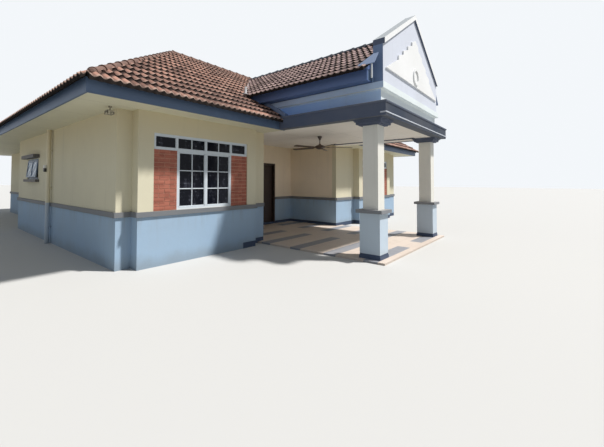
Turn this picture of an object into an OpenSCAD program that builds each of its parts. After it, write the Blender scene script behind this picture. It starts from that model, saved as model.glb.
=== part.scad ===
/* [House plan] */
// Width of the house over the outer wall faces
house_w = 12950; // [12600:10:14000]
// Depth of the house over the outer wall faces
house_d = 14080; // [12000:10:16000]
// Thickness of every wall
wall_t = 150; // [115:5:200]
// Width of the left wing
wing_w = 3800; // [3600:10:4200]
// Width of the corner strip left of each bay
strip_w = 280; // [200:10:360]
// Width of a bay
bay_w = 2990; // [2800:10:3100]
// How far a bay stands out from the wing
bay_out = 225; // [120:5:300]
// Distance of the right bay from the right corner
bay2_in = 1100; // [800:10:1300]
// Left face of the hall block beside the entrance
hall_x = 7550; // [7400:10:7900]
// Front face of the entrance wall, back from the wing front
entry_y = 1950; // [1400:10:2400]
// Depth of the side wall before the step at the rear
side_d = 7260; // [6600:10:8000]
// How far the rear part of the left side steps in
step_in = 950; // [600:10:1400]

/* [Heights] */
// Top of the floor inside
floor_h = 100; // [50:5:200]
// Top of the walls, hidden above the soffit
wall_top = 2900; // [2880:5:2920]
// Underside of the band course
band_z = 910; // [800:5:950]
// Height of the band course
band_h = 90; // [60:5:120]
// How far the band course stands out
band_out = 30; // [15:1:50]
// Underside of the soffit
soffit_z = 2800; // [2700:5:2850]
// Thickness of soffit and ceiling boards
board_t = 12; // [9:1:25]

/* [Main roof] */
// Overhang of the eaves at the sides and the rear
eave_side = 755; // [600:5:900]
// Overhang of the eaves at the front, from the wing wall
eave_front = 735; // [600:5:850]
// Top of the fascia, where the roof begins
eave_z = 3020; // [2980:5:3080]
// Rise of the main roof for each unit of run
pitch = 0.655; // [0.5:0.005:0.75]
// Thickness of the roof build-up, measured straight down
roof_t = 90; // [60:5:150]
// Thickness of the fascia boards
fascia_t = 30; // [20:1:40]
// How far the fascia hangs below the soffit
fascia_drop = 10; // [0:1:30]
// Width of the gutter in the valley between the rear slopes
valley_w = 160; // [100:10:240]

/* [Porch] */
// Distance between the column centres
col_gap = 3650; // [3300:10:4000]
// Centre of the porch from the left house wall
porch_cx = 5770; // [5700:10:5900]
// Centre of the columns, out from the wing front
col_out = 2850; // [2500:10:3200]
// Side of a column pedestal
ped_w = 410; // [360:5:440]
// Side of a column shaft
shaft_w = 310; // [260:5:350]
// Side of the ring round a column
ring_w = 526; // [460:2:600]
// Height of the ring round a column
ring_h = 67; // [40:1:100]
// Height of the skirting round a column
skirt_h = 60; // [40:5:120]
// How far the skirting stands out
skirt_out = 10; // [6:1:20]
// Underside of the capital
cap_z = 2680; // [2620:5:2720]
// Side of the capital at its top
cap_w = 600; // [540:5:640]
// Width of the beam over the columns
beam_w = 400; // [340:5:440]
// How far the beam's outer moulding stands out from the beam
beam_out = 210; // [150:5:260]
// Top of the beam
beam_top = 3080; // [3060:5:3120]
// Thickness of the porch walls above the beam
frieze_t = 150; // [115:5:180]
// How far the porch walls above the beam stand back from its outer faces
frieze_in = 95; // [40:5:120]
// Underside of the cornice
cornice_z = 3390; // [3360:1:3440]
// Height of the cornice
cornice_h = 127; // [90:1:160]
// How far the cornice stands out
cornice_out = 80; // [40:5:120]
// Height of the porch ceiling above the beam underside
ceil_up = 30; // [10:1:60]
// Top of the porch floor
porch_floor_h = 40; // [20:1:80]
// How far the porch floor runs past the columns
porch_edge = 150; // [60:5:300]

/* [Porch roof] */
// Overhang of the porch eaves from the porch walls
porch_eave = 350; // [300:5:450]
// Height of the porch roof at its eaves
porch_eave_z = 3750; // [3700:5:3790]
// Rise of the porch roof for each unit of run
porch_pitch = 0.6; // [0.55:0.005:0.65]
// Underside of the boards below the porch eaves
porch_soffit_z = 3530; // [3525:1:3560]
// How far the porch fascia stands back from the eave
porch_fascia_in = 60; // [30:5:120]
// Width of the flashing boards along the porch walls
flash_w = 110; // [80:5:140]
// Height of the flashing boards above the tiles
flash_h = 90; // [60:5:110]

/* [Pediment] */
// Thickness of the pediment wall
gable_t = 200; // [150:5:250]
// How far the pediment wall stands out from the wall below the cornice
gable_out = 45; // [20:5:70]
// Top of the upright sides of the pediment
gable_side_z = 4280; // [4200:5:4400]
// Rise of the pediment for each unit of run
gable_pitch = 0.615; // [0.55:0.005:0.65]
// Height of the raking cornice
rake_h = 115; // [80:5:160]
// How far the raking cornice stands out in front
rake_out = 40; // [20:5:80]
// Height of the foot of the raised triangle
tri_z = 3830; // [3760:5:3900]
// Distance of the raised triangle from the pediment sides
tri_in = 120; // [90:5:240]
// Rise of the raised triangle for each unit of run
tri_pitch = 0.645; // [0.55:0.005:0.66]
// How far the raised triangle stands out
tri_out = 30; // [12:1:50]
// Number of steps on each raking edge of the triangle
tri_steps = 4; // [3:1:6]
// Width of one step
tread = 300; // [200:10:320]
// Height of one step's upright edge
step_h = 90; // [50:5:120]
// Outer diameter of the round ring
medal_d = 390; // [300:5:440]
// Width of the ring's rim
medal_rim = 50; // [30:5:70]
// How far the ring stands out from the triangle
medal_out = 25; // [12:1:50]

/* [Front windows] */
// Width of the opening in a bay
win_w = 2390; // [2200:10:2500]
// Head of the front windows
win_head = 2425; // [2380:5:2480]
// Width of a brick panel beside the sashes
brick_w = 495; // [400:5:560]
// Top of the brick panels and underside of the top lights
transom_z = 2130; // [2080:5:2180]
// Thickness of the brick panels
brick_t = 110; // [90:5:115]
// How far bricks and frames lie back from the wall face
reveal = 20; // [5:1:35]
// Width of the frame members
bar = 45; // [35:1:60]
// Depth of the frames
frame_d = 60; // [50:1:80]
// Thickness of the glass
glass_t = 6; // [4:1:10]

/* [Small windows] */
// Width of a small window
small_w = 1170; // [800:10:1300]
// Head of the small windows
small_head = 2160; // [2100:5:2250]
// Height of a small window
small_h = 580; // [450:5:700]
// Distance of the left window from the front corner
small_y = 4960; // [4600:10:5400]
// How far the hoods stand out
hood_out = 150; // [100:5:250]
// Thickness of the hoods
hood_t = 95; // [70:5:110]
// Height of the hood above the head of its window
hood_up = 15; // [5:5:40]
// How far the sills stand out
sill_out = 90; // [50:5:140]
// Thickness of the sills
sill_t = 75; // [50:5:100]
// How far hoods and sills run past a window
hood_side = 100; // [50:10:200]
// Opening angle of the top-hung sash
tilt = 6; // [4:1:35]

/* [Door] */
// Left side of the door opening
door_x = 5560; // [5000:10:5800]
// Width of the door opening
door_w = 1050; // [950:10:1200]
// Head of the door opening
door_head = 2200; // [2150:5:2300]
// Width of the door frame
door_bar = 50; // [40:1:70]
// Thickness of the door leaf
leaf_t = 40; // [35:1:50]
// Clearance round the door leaf
leaf_gap = 7; // [6:0.5:9]
// Radius of the hinge barrels
barrel_r = 7; // [6:0.5:8]
// Height of the lowest hinge above the floor
hinge_low = 250; // [200:10:350]
// Height of the middle hinge above the floor
hinge_mid = 1000; // [900:10:1100]
// Distance of the upper hinge below the head of the opening
hinge_down = 350; // [300:10:450]
// Height of the door handle above the floor
handle_h = 950; // [900:10:1050]

/* [Ceiling fan] */
// Centre of the fan from the left house wall
fan_x = 5400; // [5200:10:6000]
// Centre of the fan, out from the wing front
fan_out = 690; // [400:10:1000]
// Diameter over the blades
fan_d = 1800; // [1200:10:1900]
// Length from the ceiling to the motor
fan_drop = 240; // [180:5:320]
// Diameter of the motor
motor_d = 280; // [220:5:320]
// Height of the motor
motor_h = 130; // [90:5:160]
// Number of blades
blades = 5; // [3:1:6]
// Width of a blade
blade_w = 140; // [100:5:180]

/* [Fittings] */
// Diameter of the downpipes
pipe_d = 100; // [75:5:110]
// Distance of the downpipes from the front corner
pipe_y = 3690; // [3500:10:3900]
// Underside of the box clipped to the left downpipe
box_z = 1760; // [1700:10:1850]
// Height of that box
box_h = 160; // [120:10:220]
// Width of that box
box_w = 90; // [70:5:120]
// Depth of that box
box_d = 45; // [30:5:60]
// Clearance of that box from the pipe
box_gap = 0.3; // [0.1:0.1:1]
// Place of the floodlight behind the front corner, below zero in front of it
lamp_y = -50; // [-150:10:400]

/* [Hidden] */

big = 40000;
eave_y0 = -eave_front;
eave_y1 = house_d + eave_side;
eave_x0 = -eave_side;
eave_x1 = house_w + eave_side;
ridge_run = (eave_x1 - eave_x0) / 4;
fascia_z = soffit_z - fascia_drop;
band_top = band_z + band_h;
col_x = [porch_cx - col_gap / 2, porch_cx + col_gap / 2];
beam_in = beam_w / 2;
beam_face = col_gap / 2 + beam_w / 2;             // outer face of the beam from the porch centre
mould_face = beam_face + beam_out;                // outer face of its moulding
beam_front = -col_out - beam_w / 2;
mould_front = beam_front - beam_out;
wall_face = beam_face - frieze_in;                // outer face of the walls above the beam
gable_front = beam_front;
gable_back = gable_front - gable_out + gable_t;
porch_half = wall_face + porch_eave;
frieze_top = porch_eave_z + porch_pitch * porch_eave - roof_t;
ceil_z = soffit_z + ceil_up;
gable_apex = gable_side_z + gable_pitch * wall_face;
front_y = mould_front;
ox = house_w / 2;
oy = (front_y + eave_y1) / 2;
door_leaf_x = door_x + door_bar + leaf_gap;
door_leaf_w = door_w - 2 * door_bar - 2 * leaf_gap;
door_in = entry_y + wall_t;
hinge_y = door_in + barrel_r + 1;
hinge_z = [floor_h + hinge_low, floor_h + hinge_mid, door_head - hinge_down];
fan_z = ceil_z - fan_drop;
small_z = small_head - small_h;
bay2_x = house_w - bay2_in - bay_w;
bays = [strip_w, bay2_x];
cream = "#e6dcc0";
blue = "#a9b6c6";
slate = "#39424f";
pale = "#cfd6dc";
grey = "#7f8489";
white = "#eef0f0";
tile = "#94604c";

module place() translate([-ox, -oy, 0]) children();
module block(a, b) translate(a) cube(b - a);

function outline(o = 0) = [[o, o], [strip_w + o, o], [strip_w + o, o - bay_out],
    [strip_w + bay_w - o, o - bay_out], [strip_w + bay_w - o, o], [wing_w - o, o],
    [wing_w - o, entry_y + o], [hall_x + o, entry_y + o], [hall_x + o, o], [bay2_x + o, o],
    [bay2_x + o, o - bay_out], [bay2_x + bay_w - o, o - bay_out], [bay2_x + bay_w - o, o],
    [house_w - o, o], [house_w - o, house_d - o], [step_in + o, house_d - o],
    [step_in + o, side_d - o], [o, side_d - o]];

// Everything below the outer surface of the main roof: one big hipped body, hollowed behind its
// front ridge by a notch that leaves a ridge on each side and a gutter between them
module main_envelope(z0) {
    rise = 2 * ridge_run * pitch;
    top = 1.2 * ridge_run;
    gutter = valley_w / 2;
    rear_foot = eave_y0 + 2 * ridge_run;
    difference() {
        intersection() {
            translate([0, eave_y1, 0]) rotate([90, 0, 0]) linear_extrude(eave_y1 - eave_y0)
                polygon([[eave_x0, z0], [eave_x1, z0], [house_w / 2, z0 + rise]]);
            translate([eave_x0, 0, 0]) rotate([90, 0, 90]) linear_extrude(eave_x1 - eave_x0)
                polygon([[eave_y0, z0], [eave_y0 + top, z0 + pitch * top], [eave_y1 - top, z0 + pitch * top],
                    [eave_y1, z0]]);
        }
        intersection() {
            translate([0, eave_y1 + 1, 0]) rotate([90, 0, 0]) linear_extrude(eave_y1 - eave_y0)
                translate([house_w / 2, z0]) polygon([[-gutter, pitch * gutter], [gutter, pitch * gutter],
                    [2 * ridge_run, rise], [-2 * ridge_run, rise]]);
            translate([eave_x0, 0, 0]) rotate([90, 0, 90]) linear_extrude(eave_x1 - eave_x0)
                polygon([[rear_foot, z0], [rear_foot - 2 * ridge_run, z0 + rise], [eave_y1 + 1, z0 + rise],
                    [eave_y1 + 1, z0]]);
        }
    }
}
module porch_prism(z0, y1) {
    translate([porch_cx, y1, 0]) rotate([90, 0, 0]) linear_extrude(y1 - gable_back)
        polygon([[-porch_half, z0], [porch_half, z0], [0, z0 + porch_pitch * porch_half]]);
}

module floor_slab() color("#b8b2a6") place() linear_extrude(floor_h) polygon(outline(wall_t));

module porch_floor() color("#c9c4ba") place() linear_extrude(porch_floor_h) polygon([
    [col_x[0] - ped_w / 2 - porch_edge, -col_out - ped_w / 2 - porch_edge],
    [col_x[1] + ped_w / 2 + porch_edge, -col_out - ped_w / 2 - porch_edge],
    [col_x[1] + ped_w / 2 + porch_edge, 0], [hall_x, 0], [hall_x, entry_y],
    [wing_w, entry_y], [wing_w, 0], [col_x[0] - ped_w / 2 - porch_edge, 0]]);

// A wing front with its bay, from x0 to x1, and the bay at bx
module wing_front(x0, x1, bx) {
    difference() {
        linear_extrude(wall_top) polygon([[x0, 0], [bx, 0], [bx, -bay_out], [bx + bay_w, -bay_out],
            [bx + bay_w, 0], [x1, 0], [x1, wall_t], [bx + bay_w - wall_t, wall_t],
            [bx + bay_w - wall_t, wall_t - bay_out], [bx + wall_t, wall_t - bay_out],
            [bx + wall_t, wall_t], [x0, wall_t]]);
        block([bx + (bay_w - win_w) / 2, -bay_out - 1, band_top],
              [bx + (bay_w + win_w) / 2, wall_t - bay_out + 1, win_head]);
    }
}
module wall_front_left() color(cream) place() wing_front(0, wing_w, strip_w);
module wall_front_right() color(cream) place() wing_front(hall_x, house_w, bay2_x);

module wall_left() color(cream) place() difference() {
    union() {
        block([0, wall_t, 0], [wall_t, side_d, wall_top]);
        block([wall_t, side_d - wall_t, 0], [step_in + wall_t, side_d, wall_top]);
    }
    block([-1, small_y, small_z], [wall_t + 1, small_y + small_w, small_head]);
}
module wall_left_rear() color(cream) place()
    block([step_in, side_d, 0], [step_in + wall_t, house_d, wall_top]);

rear_win = [house_w * 0.3, house_w * 0.68];
right_win = [small_y, house_d * 0.68];
module wall_rear() color(cream) place() difference() {
    block([step_in + wall_t, house_d - wall_t, 0], [house_w - wall_t, house_d, wall_top]);
    for (x = rear_win) block([x, house_d - wall_t - 1, small_z], [x + small_w, house_d + 1, small_head]);
}
module wall_right() color(cream) place() difference() {
    block([house_w - wall_t, wall_t, 0], [house_w, house_d, wall_top]);
    for (y = right_win) block([house_w - wall_t - 1, y, small_z], [house_w + 1, y + small_w, small_head]);
}
module wall_hall_side() color(cream) place()
    block([hall_x, wall_t, 0], [hall_x + wall_t, entry_y, wall_top]);
module wall_wing_inner() color(cream) place()
    block([wing_w - wall_t, wall_t, 0], [wing_w, entry_y, wall_top]);
module wall_entry_left() color(cream) place()
    block([wing_w - wall_t, entry_y, 0], [door_x, door_in, wall_top]);
module wall_entry_right() color(cream) place()
    block([door_x + door_w, entry_y, 0], [hall_x + wall_t, door_in, wall_top]);
module wall_entry_over() color(cream) place() union() {
    block([door_x, entry_y, door_head], [door_x + door_w, door_in, wall_top]);
    block([door_x, entry_y, 0], [door_x + door_w, door_in, floor_h]);
}

// The band course: a strip of plan laid against the wall faces
module band(p) translate([0, 0, band_z]) linear_extrude(band_h) polygon(p);
function lap(bx, x0, x1) = [[x0, -band_out], [bx - band_out, -band_out], [bx - band_out, -bay_out - band_out],
    [bx + bay_w + band_out, -bay_out - band_out], [bx + bay_w + band_out, -band_out], [x1, -band_out],
    [x1, 0], [bx + bay_w, 0], [bx + bay_w, -bay_out], [bx, -bay_out], [bx, 0], [x0, 0]];
module band_left() color(grey) place() {
    band(lap(strip_w, -band_out, wing_w));
    band([[-band_out, 0], [0, 0], [0, side_d], [step_in, side_d], [step_in, house_d],
        [step_in - band_out, house_d], [step_in - band_out, side_d + band_out],
        [-band_out, side_d + band_out]]);
}
module band_right() color(grey) place() {
    band(lap(bay2_x, hall_x, house_w + band_out));
    band([[house_w, 0], [house_w + band_out, 0], [house_w + band_out, house_d + band_out],
        [step_in - band_out, house_d + band_out], [step_in - band_out, house_d], [house_w, house_d]]);
}
module band_entry() color(grey) place() {
    y1 = entry_y - band_out;
    band([[wing_w, 0], [wing_w + band_out, 0], [wing_w + band_out, y1], [door_x, y1],
        [door_x, entry_y], [wing_w, entry_y]]);
    band([[door_x + door_w, y1], [hall_x - band_out, y1], [hall_x - band_out, 0],
        [hall_x, 0], [hall_x, entry_y], [door_x + door_w, entry_y]]);
}

module brick_panels() color("#b5543c") place() for (bx = bays) {
    x0 = bx + (bay_w - win_w) / 2;
    x1 = x0 + win_w;
    y0 = -bay_out + reveal;
    block([x0, y0, band_top], [x0 + brick_w, y0 + brick_t, transom_z]);
    block([x1 - brick_w, y0, band_top], [x1, y0 + brick_t, transom_z]);
}

// Left and right ends of the top lights, and of the sashes between the bricks, for a window that
// starts at x0
function top_lights(x0) = [
    [x0 + bar, x0 + brick_w - bar / 2],
    [x0 + brick_w + bar / 2, x0 + win_w / 2 - bar / 2],
    [x0 + win_w / 2 + bar / 2, x0 + win_w - brick_w - bar / 2],
    [x0 + win_w - brick_w + bar / 2, x0 + win_w - bar]];
function sash_lights(x0) = [[x0 + brick_w + bar, x0 + win_w / 2 - bar / 2],
    [x0 + win_w / 2 + bar / 2, x0 + win_w - brick_w - bar]];

// T-shaped frame of a front window: top lights over the full width, sashes between the bricks
module t_frame(x0) {
    x1 = x0 + win_w;
    y0 = -bay_out + reveal;
    difference() {
        union() {
            block([x0, y0, transom_z], [x1, y0 + frame_d, win_head]);
            block([x0 + brick_w, y0, band_top], [x1 - brick_w, y0 + frame_d, transom_z]);
        }
        for (s = top_lights(x0))
            block([s[0], y0 - 1, transom_z + bar], [s[1], y0 + frame_d + 1, win_head - bar]);
        for (s = sash_lights(x0))
            block([s[0], y0 - 1, band_top + bar], [s[1], y0 + frame_d + 1, transom_z - bar / 2]);
    }
}
module t_glass(x0) {
    y0 = -bay_out + reveal + (frame_d - glass_t) / 2;
    for (s = top_lights(x0))
        block([s[0], y0, transom_z + bar], [s[1], y0 + glass_t, win_head - bar]);
    for (s = sash_lights(x0))
        block([s[0], y0, band_top + bar], [s[1], y0 + glass_t, transom_z - bar / 2]);
}
module front_frames() color(white) place() for (bx = bays) t_frame(bx + (bay_w - win_w) / 2);
module front_glass() color("#20272b") place() for (bx = bays) t_glass(bx + (bay_w - win_w) / 2);

// A small window in its own frame: x along the wall, y out of it, z up from its sill
module small_frame() difference() {
    translate([0, -frame_d - reveal, 0]) cube([small_w, frame_d, small_h]);
    for (i = [0, 1]) translate([bar + i * (small_w - bar) / 2, -frame_d - reveal - 1, bar])
        cube([(small_w - 3 * bar) / 2, frame_d + 2, small_h - 2 * bar]);
}
module small_pane() for (i = [0, 1])
    translate([bar + i * (small_w - bar) / 2, -reveal - (frame_d + glass_t) / 2, bar])
        cube([(small_w - 3 * bar) / 2, glass_t, small_h - 2 * bar]);
// The sash of the left window stands open, hung at its head
sash_gap = 3;
module opened() translate([0, -reveal - sash_gap, small_h - bar + sash_gap]) rotate([tilt, 0, 0])
    translate([0, 0, -(small_h - 2 * bar)]) children();
module open_sash() opened() difference() {
    translate([bar + sash_gap, 0, 0])
        cube([small_w - 2 * bar - 2 * sash_gap, frame_d / 2, small_h - 2 * bar]);
    for (i = [0, 1]) translate([2 * bar + i * (small_w - 3 * bar) / 2, -1, bar])
        cube([(small_w - 5 * bar) / 2, frame_d / 2 + 2, small_h - 4 * bar]);
}
module open_pane() opened() for (i = [0, 1])
    translate([2 * bar + i * (small_w - 3 * bar) / 2, frame_d / 4 - glass_t / 2, bar])
        cube([(small_w - 5 * bar) / 2, glass_t, small_h - 4 * bar]);
module outer_frame() difference() {
    translate([0, -frame_d - reveal, 0]) cube([small_w, frame_d, small_h]);
    translate([bar, -frame_d - reveal - 1, bar]) cube([small_w - 2 * bar, frame_d + 2, small_h - 2 * bar]);
}
// Places a window in a wall whose outer face it looks out of
module at_left() translate([0, small_y + small_w, small_z]) rotate([0, 0, 90]) mirror([1, 0, 0]) children();
module at_right(y) translate([house_w, y + small_w, small_z]) rotate([0, 0, -90]) children();
module at_rear(x) translate([x, house_d, small_z]) children();

module small_windows() color(white) place() {
    at_left() { outer_frame(); open_sash(); }
    for (y = right_win) at_right(y) small_frame();
    for (x = rear_win) at_rear(x) small_frame();
}
module small_glass() color("#5d7689") place() {
    at_left() open_pane();
    for (y = right_win) at_right(y) small_pane();
    for (x = rear_win) at_rear(x) small_pane();
}
module hood() {
    translate([-hood_side, 0, small_h + hood_up]) cube([small_w + 2 * hood_side, hood_out, hood_t]);
    translate([-hood_side, 0, -sill_t]) cube([small_w + 2 * hood_side, sill_out, sill_t]);
}
module window_hoods() color(grey) place() {
    at_left() hood();
    for (y = right_win) at_right(y) hood();
    for (x = rear_win) at_rear(x) hood();
}

module door_frame() color("#2b2320") place() {
    difference() {
        block([door_x, entry_y, floor_h], [door_x + door_w, door_in, door_head]);
        block([door_x + door_bar, entry_y - 1, floor_h - 1],
              [door_x + door_w - door_bar, door_in + 1, door_head - door_bar]);
    }
    for (z = hinge_z) {
        translate([door_leaf_x, hinge_y, z]) cylinder(r = barrel_r, h = 40, $fn = 24);
        block([door_x + 10, door_in - 1, z], [door_leaf_x - 3, door_in + 4, z + 40]);
    }
}
module door_leaf() color("#241c19") place() {
    block([door_leaf_x, door_in - leaf_t, floor_h + leaf_gap],
          [door_leaf_x + door_leaf_w, door_in, door_head - door_bar - leaf_gap]);
    for (z = hinge_z) {
        translate([door_leaf_x, hinge_y, z + 40.3]) cylinder(r = barrel_r, h = 40, $fn = 24);
        block([door_leaf_x, door_in - 1, z + 40.3], [door_leaf_x + 30, door_in + 4, z + 80.3]);
    }
    for (s = [-1, 1]) translate([door_leaf_x + door_leaf_w - 70, door_in - leaf_t / 2, floor_h + handle_h]) {
        rotate([s * 90, 0, 0]) cylinder(d = 22, h = leaf_t / 2 + 45, $fn = 24);
        translate([-110, s * -(leaf_t / 2 + 45) - 8, -9]) cube([120, 16, 18]);
    }
}

module on_columns() for (x = col_x) translate([x, -col_out, 0]) children();
module square_post(w, z0, z1) translate([-w / 2, -w / 2, z0]) cube([w, w, z1 - z0]);
module pedestals() color(blue) place() on_columns() {
    square_post(ped_w, porch_floor_h, band_top - ring_h);
    square_post(ped_w + 2 * skirt_out, porch_floor_h, porch_floor_h + skirt_h);
}
module column_rings() color(grey) place() on_columns() square_post(ring_w, band_top - ring_h, band_top);
module shafts() color(cream) place() on_columns() square_post(shaft_w, band_top, cap_z);
module capitals() color(slate) place() on_columns() {
    h = soffit_z - cap_z;
    low_w = shaft_w + (cap_w - shaft_w) * 0.4;
    mid_w = shaft_w + (cap_w - shaft_w) * 0.7;
    square_post(low_w, cap_z, cap_z + h * 0.2);
    square_post(mid_w, cap_z + h * 0.2, cap_z + h * 0.6);
    square_post((mid_w + cap_w) / 2, cap_z + h * 0.6, cap_z + h * 0.8);
    square_post(cap_w, cap_z + h * 0.8, soffit_z);
}

// The beam: a core over the columns and a moulding on its outside
module porch_beam() color(slate) place() {
    for (s = [-1, 1]) {
        xa = porch_cx + s * (col_gap / 2 - beam_in);
        xb = porch_cx + s * beam_face;
        xw = porch_cx + s * wall_face;
        block([min(xa, xb), beam_front, soffit_z], [max(xa, xb), eave_y0, beam_top]);
        block([min(xa, xw), eave_y0, soffit_z], [max(xa, xw), 0, beam_top]);
        block([min(xa, xb), eave_y0, soffit_z], [max(xa, xb), 0, wall_top]);
        xc = porch_cx + s * mould_face;
        block([min(xb, xc), mould_front, soffit_z], [max(xb, xc), eave_y0, beam_top]);
    }
    block([porch_cx - mould_face, mould_front, soffit_z],
          [porch_cx + mould_face, -col_out + beam_in, beam_top]);
}
module porch_ceiling() color("#ece9e0") place() translate([0, 0, ceil_z]) linear_extrude(board_t)
    polygon([[col_x[0] + beam_in, -col_out + beam_in], [col_x[1] - beam_in, -col_out + beam_in],
        [col_x[1] - beam_in, 0], [hall_x, 0], [hall_x, entry_y], [wing_w, entry_y], [wing_w, 0],
        [col_x[0] + beam_in, 0]]);

run_back = (frieze_top - eave_z) / pitch - eave_front;
module porch_frieze() color("#b9c4d0") place() difference() {
    for (s = [-1, 1]) {
        xa = porch_cx + s * (wall_face - frieze_t);
        xb = porch_cx + s * wall_face;
        block([min(xa, xb), gable_back, beam_top], [max(xa, xb), run_back, frieze_top]);
    }
    intersection() {
        main_envelope(eave_z);
        block([0, 0, 0], [house_w, big, big]);
    }
}
module porch_cornice() color(pale) place() difference() {
    translate([0, 0, cornice_z]) linear_extrude(cornice_h) polygon([
        [porch_cx - wall_face - cornice_out, gable_front - cornice_out],
        [porch_cx + wall_face + cornice_out, gable_front - cornice_out],
        [porch_cx + wall_face + cornice_out, run_back], [porch_cx + wall_face, run_back],
        [porch_cx + wall_face, gable_front], [porch_cx - wall_face, gable_front],
        [porch_cx - wall_face, run_back], [porch_cx - wall_face - cornice_out, run_back]]);
    main_envelope(eave_z);
}
module gable_wall() color("#d9dbe4") place() translate([porch_cx, gable_back, 0]) rotate([90, 0, 0]) {
    linear_extrude(gable_back - gable_front) polygon([[-wall_face, beam_top], [wall_face, beam_top],
        [wall_face, gable_side_z], [-wall_face, gable_side_z]]);
    linear_extrude(gable_t) polygon([[-wall_face, cornice_z + cornice_h], [wall_face, cornice_z + cornice_h],
        [wall_face, gable_side_z], [0, gable_apex], [-wall_face, gable_side_z]]);
}
// A moulding along the top of the pediment wall, over its whole thickness and a little in front
module raking_cornice() color(white) place() translate([porch_cx, gable_back, 0]) rotate([90, 0, 0])
    linear_extrude(gable_t + rake_out) polygon([
        [-wall_face, gable_side_z], [-wall_face, gable_side_z + rake_h], [0, gable_apex + rake_h],
        [wall_face, gable_side_z + rake_h], [wall_face, gable_side_z], [0, gable_apex]]);

// Raised triangle with stepped raking edges, and the round ring on it
tri_half = wall_face - tri_in;
tri_foot = tri_half - (tri_steps - 0.25) * tread;  // run of the plain part at each corner
tri_edge = [for (i = [0 : tri_steps - 1]) each [
    [-tri_half + tri_foot + i * tread, tri_z + tri_pitch * (tri_foot + i * tread) - step_h],
    [-tri_half + tri_foot + i * tread, tri_z + tri_pitch * (tri_foot + i * tread)]]];
tri_tip = [0, tri_z + tri_pitch * tri_half - step_h / 2];
module pediment_relief() color("#f4f5f4") place()
translate([porch_cx, gable_front - gable_out, 0]) rotate([90, 0, 0]) {
    linear_extrude(tri_out) polygon(concat([[-tri_half, tri_z]], tri_edge, [tri_tip],
        [for (i = [len(tri_edge) - 1 : -1 : 0]) [-tri_edge[i][0], tri_edge[i][1]]], [[tri_half, tri_z]]));
    translate([0, medal_z, tri_out]) difference() {
        cylinder(d = medal_d, h = medal_out, $fn = 48);
        translate([0, 0, -1]) cylinder(d = medal_d - 2 * medal_rim, h = medal_out + 2, $fn = 48);
    }
}
medal_z = tri_z + medal_d / 2 + 45;

// Boards under the porch eaves: an upright fascia and a level soffit
module porch_fascia() color("#323f56") place() difference() {
    for (s = [-1, 1]) {
        xo = porch_cx + s * (porch_half - porch_fascia_in);
        xi = xo - s * fascia_t;
        xw = porch_cx + s * wall_face;
        top = porch_eave_z;
        block([min(xo, xi), gable_back, porch_soffit_z], [max(xo, xi), big / 10, top]);
        block([min(xi, xw), gable_back, porch_soffit_z], [max(xi, xw), big / 10, porch_soffit_z + board_t]);
    }
    main_envelope(eave_z);
}
module porch_roof() color(tile) place() difference() {
    porch_prism(porch_eave_z, big / 4);
    translate([0, -1, 0]) porch_prism(porch_eave_z - roof_t, big / 4 + 2);
    main_envelope(eave_z);
    block([-big, side_cut, 0], [big, big, big]);
}
side_cut = eave_y0 + ridge_run;

module main_roof() color(tile) place() difference() {
    main_envelope(eave_z);
    main_envelope(eave_z - roof_t);
    block([porch_cx - wall_face, eave_y0 - 1, 0], [porch_cx + wall_face, 0, big]);
}
module ring2d(x0, y0, x1, y1, t) difference() {
    translate([x0, y0]) square([x1 - x0, y1 - y0]);
    translate([x0 + t, y0 + t]) square([x1 - x0 - 2 * t, y1 - y0 - 2 * t]);
}
module fascia() color(slate) place() difference() {
    translate([0, 0, fascia_z]) linear_extrude(eave_z - fascia_z)
        ring2d(eave_x0, eave_y0, eave_x1, eave_y1, fascia_t);
    block([porch_cx - beam_face, eave_y0 - 1, 0], [porch_cx + beam_face, 0, big]);
}
module soffit() color(cream) place() translate([0, 0, soffit_z]) linear_extrude(board_t) difference() {
    translate([eave_x0 + fascia_t, eave_y0 + fascia_t])
        square([eave_x1 - eave_x0 - 2 * fascia_t, eave_y1 - eave_y0 - 2 * fascia_t]);
    polygon(outline());
    translate([porch_cx - beam_face, eave_y0]) square([2 * beam_face, entry_y - eave_y0]);
}
// Capping where the main slopes meet the porch walls
module flashings() color(slate) place() for (s = [-1, 1]) {
    xa = porch_cx + s * wall_face;
    xb = porch_cx + s * (wall_face + flash_w);
    y1 = (porch_soffit_z - eave_z - flash_h) / pitch - eave_front;
    difference() {
        translate([min(xa, xb), 0, 0]) rotate([90, 0, 90]) linear_extrude(flash_w) polygon([
            [eave_y0, eave_z], [y1, eave_z + pitch * (y1 - eave_y0)],
            [y1, eave_z + pitch * (y1 - eave_y0) + flash_h], [eave_y0, eave_z + flash_h]]);
        block([min(xa, xb) - 1, -big, cornice_z], [max(xa, xb) + 1, big, cornice_z + cornice_h]);
    }
}

module fan_mount() color("#3a332e") place() translate([fan_x, -fan_out, 0]) {
    translate([0, 0, ceil_z - 60]) cylinder(d = 130, h = 60, $fn = 36);
    translate([0, 0, fan_z]) cylinder(d = 26, h = fan_drop, $fn = 24);
    translate([0, 0, fan_z]) cylinder(d = 70, h = 14, $fn = 36);
}
module fan_rotor() color("#3a332e") place() translate([fan_x, -fan_out, fan_z - 0.3 - motor_h]) {
    cylinder(d = motor_d, h = motor_h, $fn = 48);
    for (i = [0 : blades - 1]) rotate([0, 0, 20 + i * 360 / blades])
        translate([motor_d / 2 - 20, 0, motor_h * 0.4]) rotate([10, 0, 0])
            translate([0, -blade_w / 2, -4]) cube([fan_d / 2 - motor_d / 2 + 20, blade_w, 8]);
}

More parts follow.
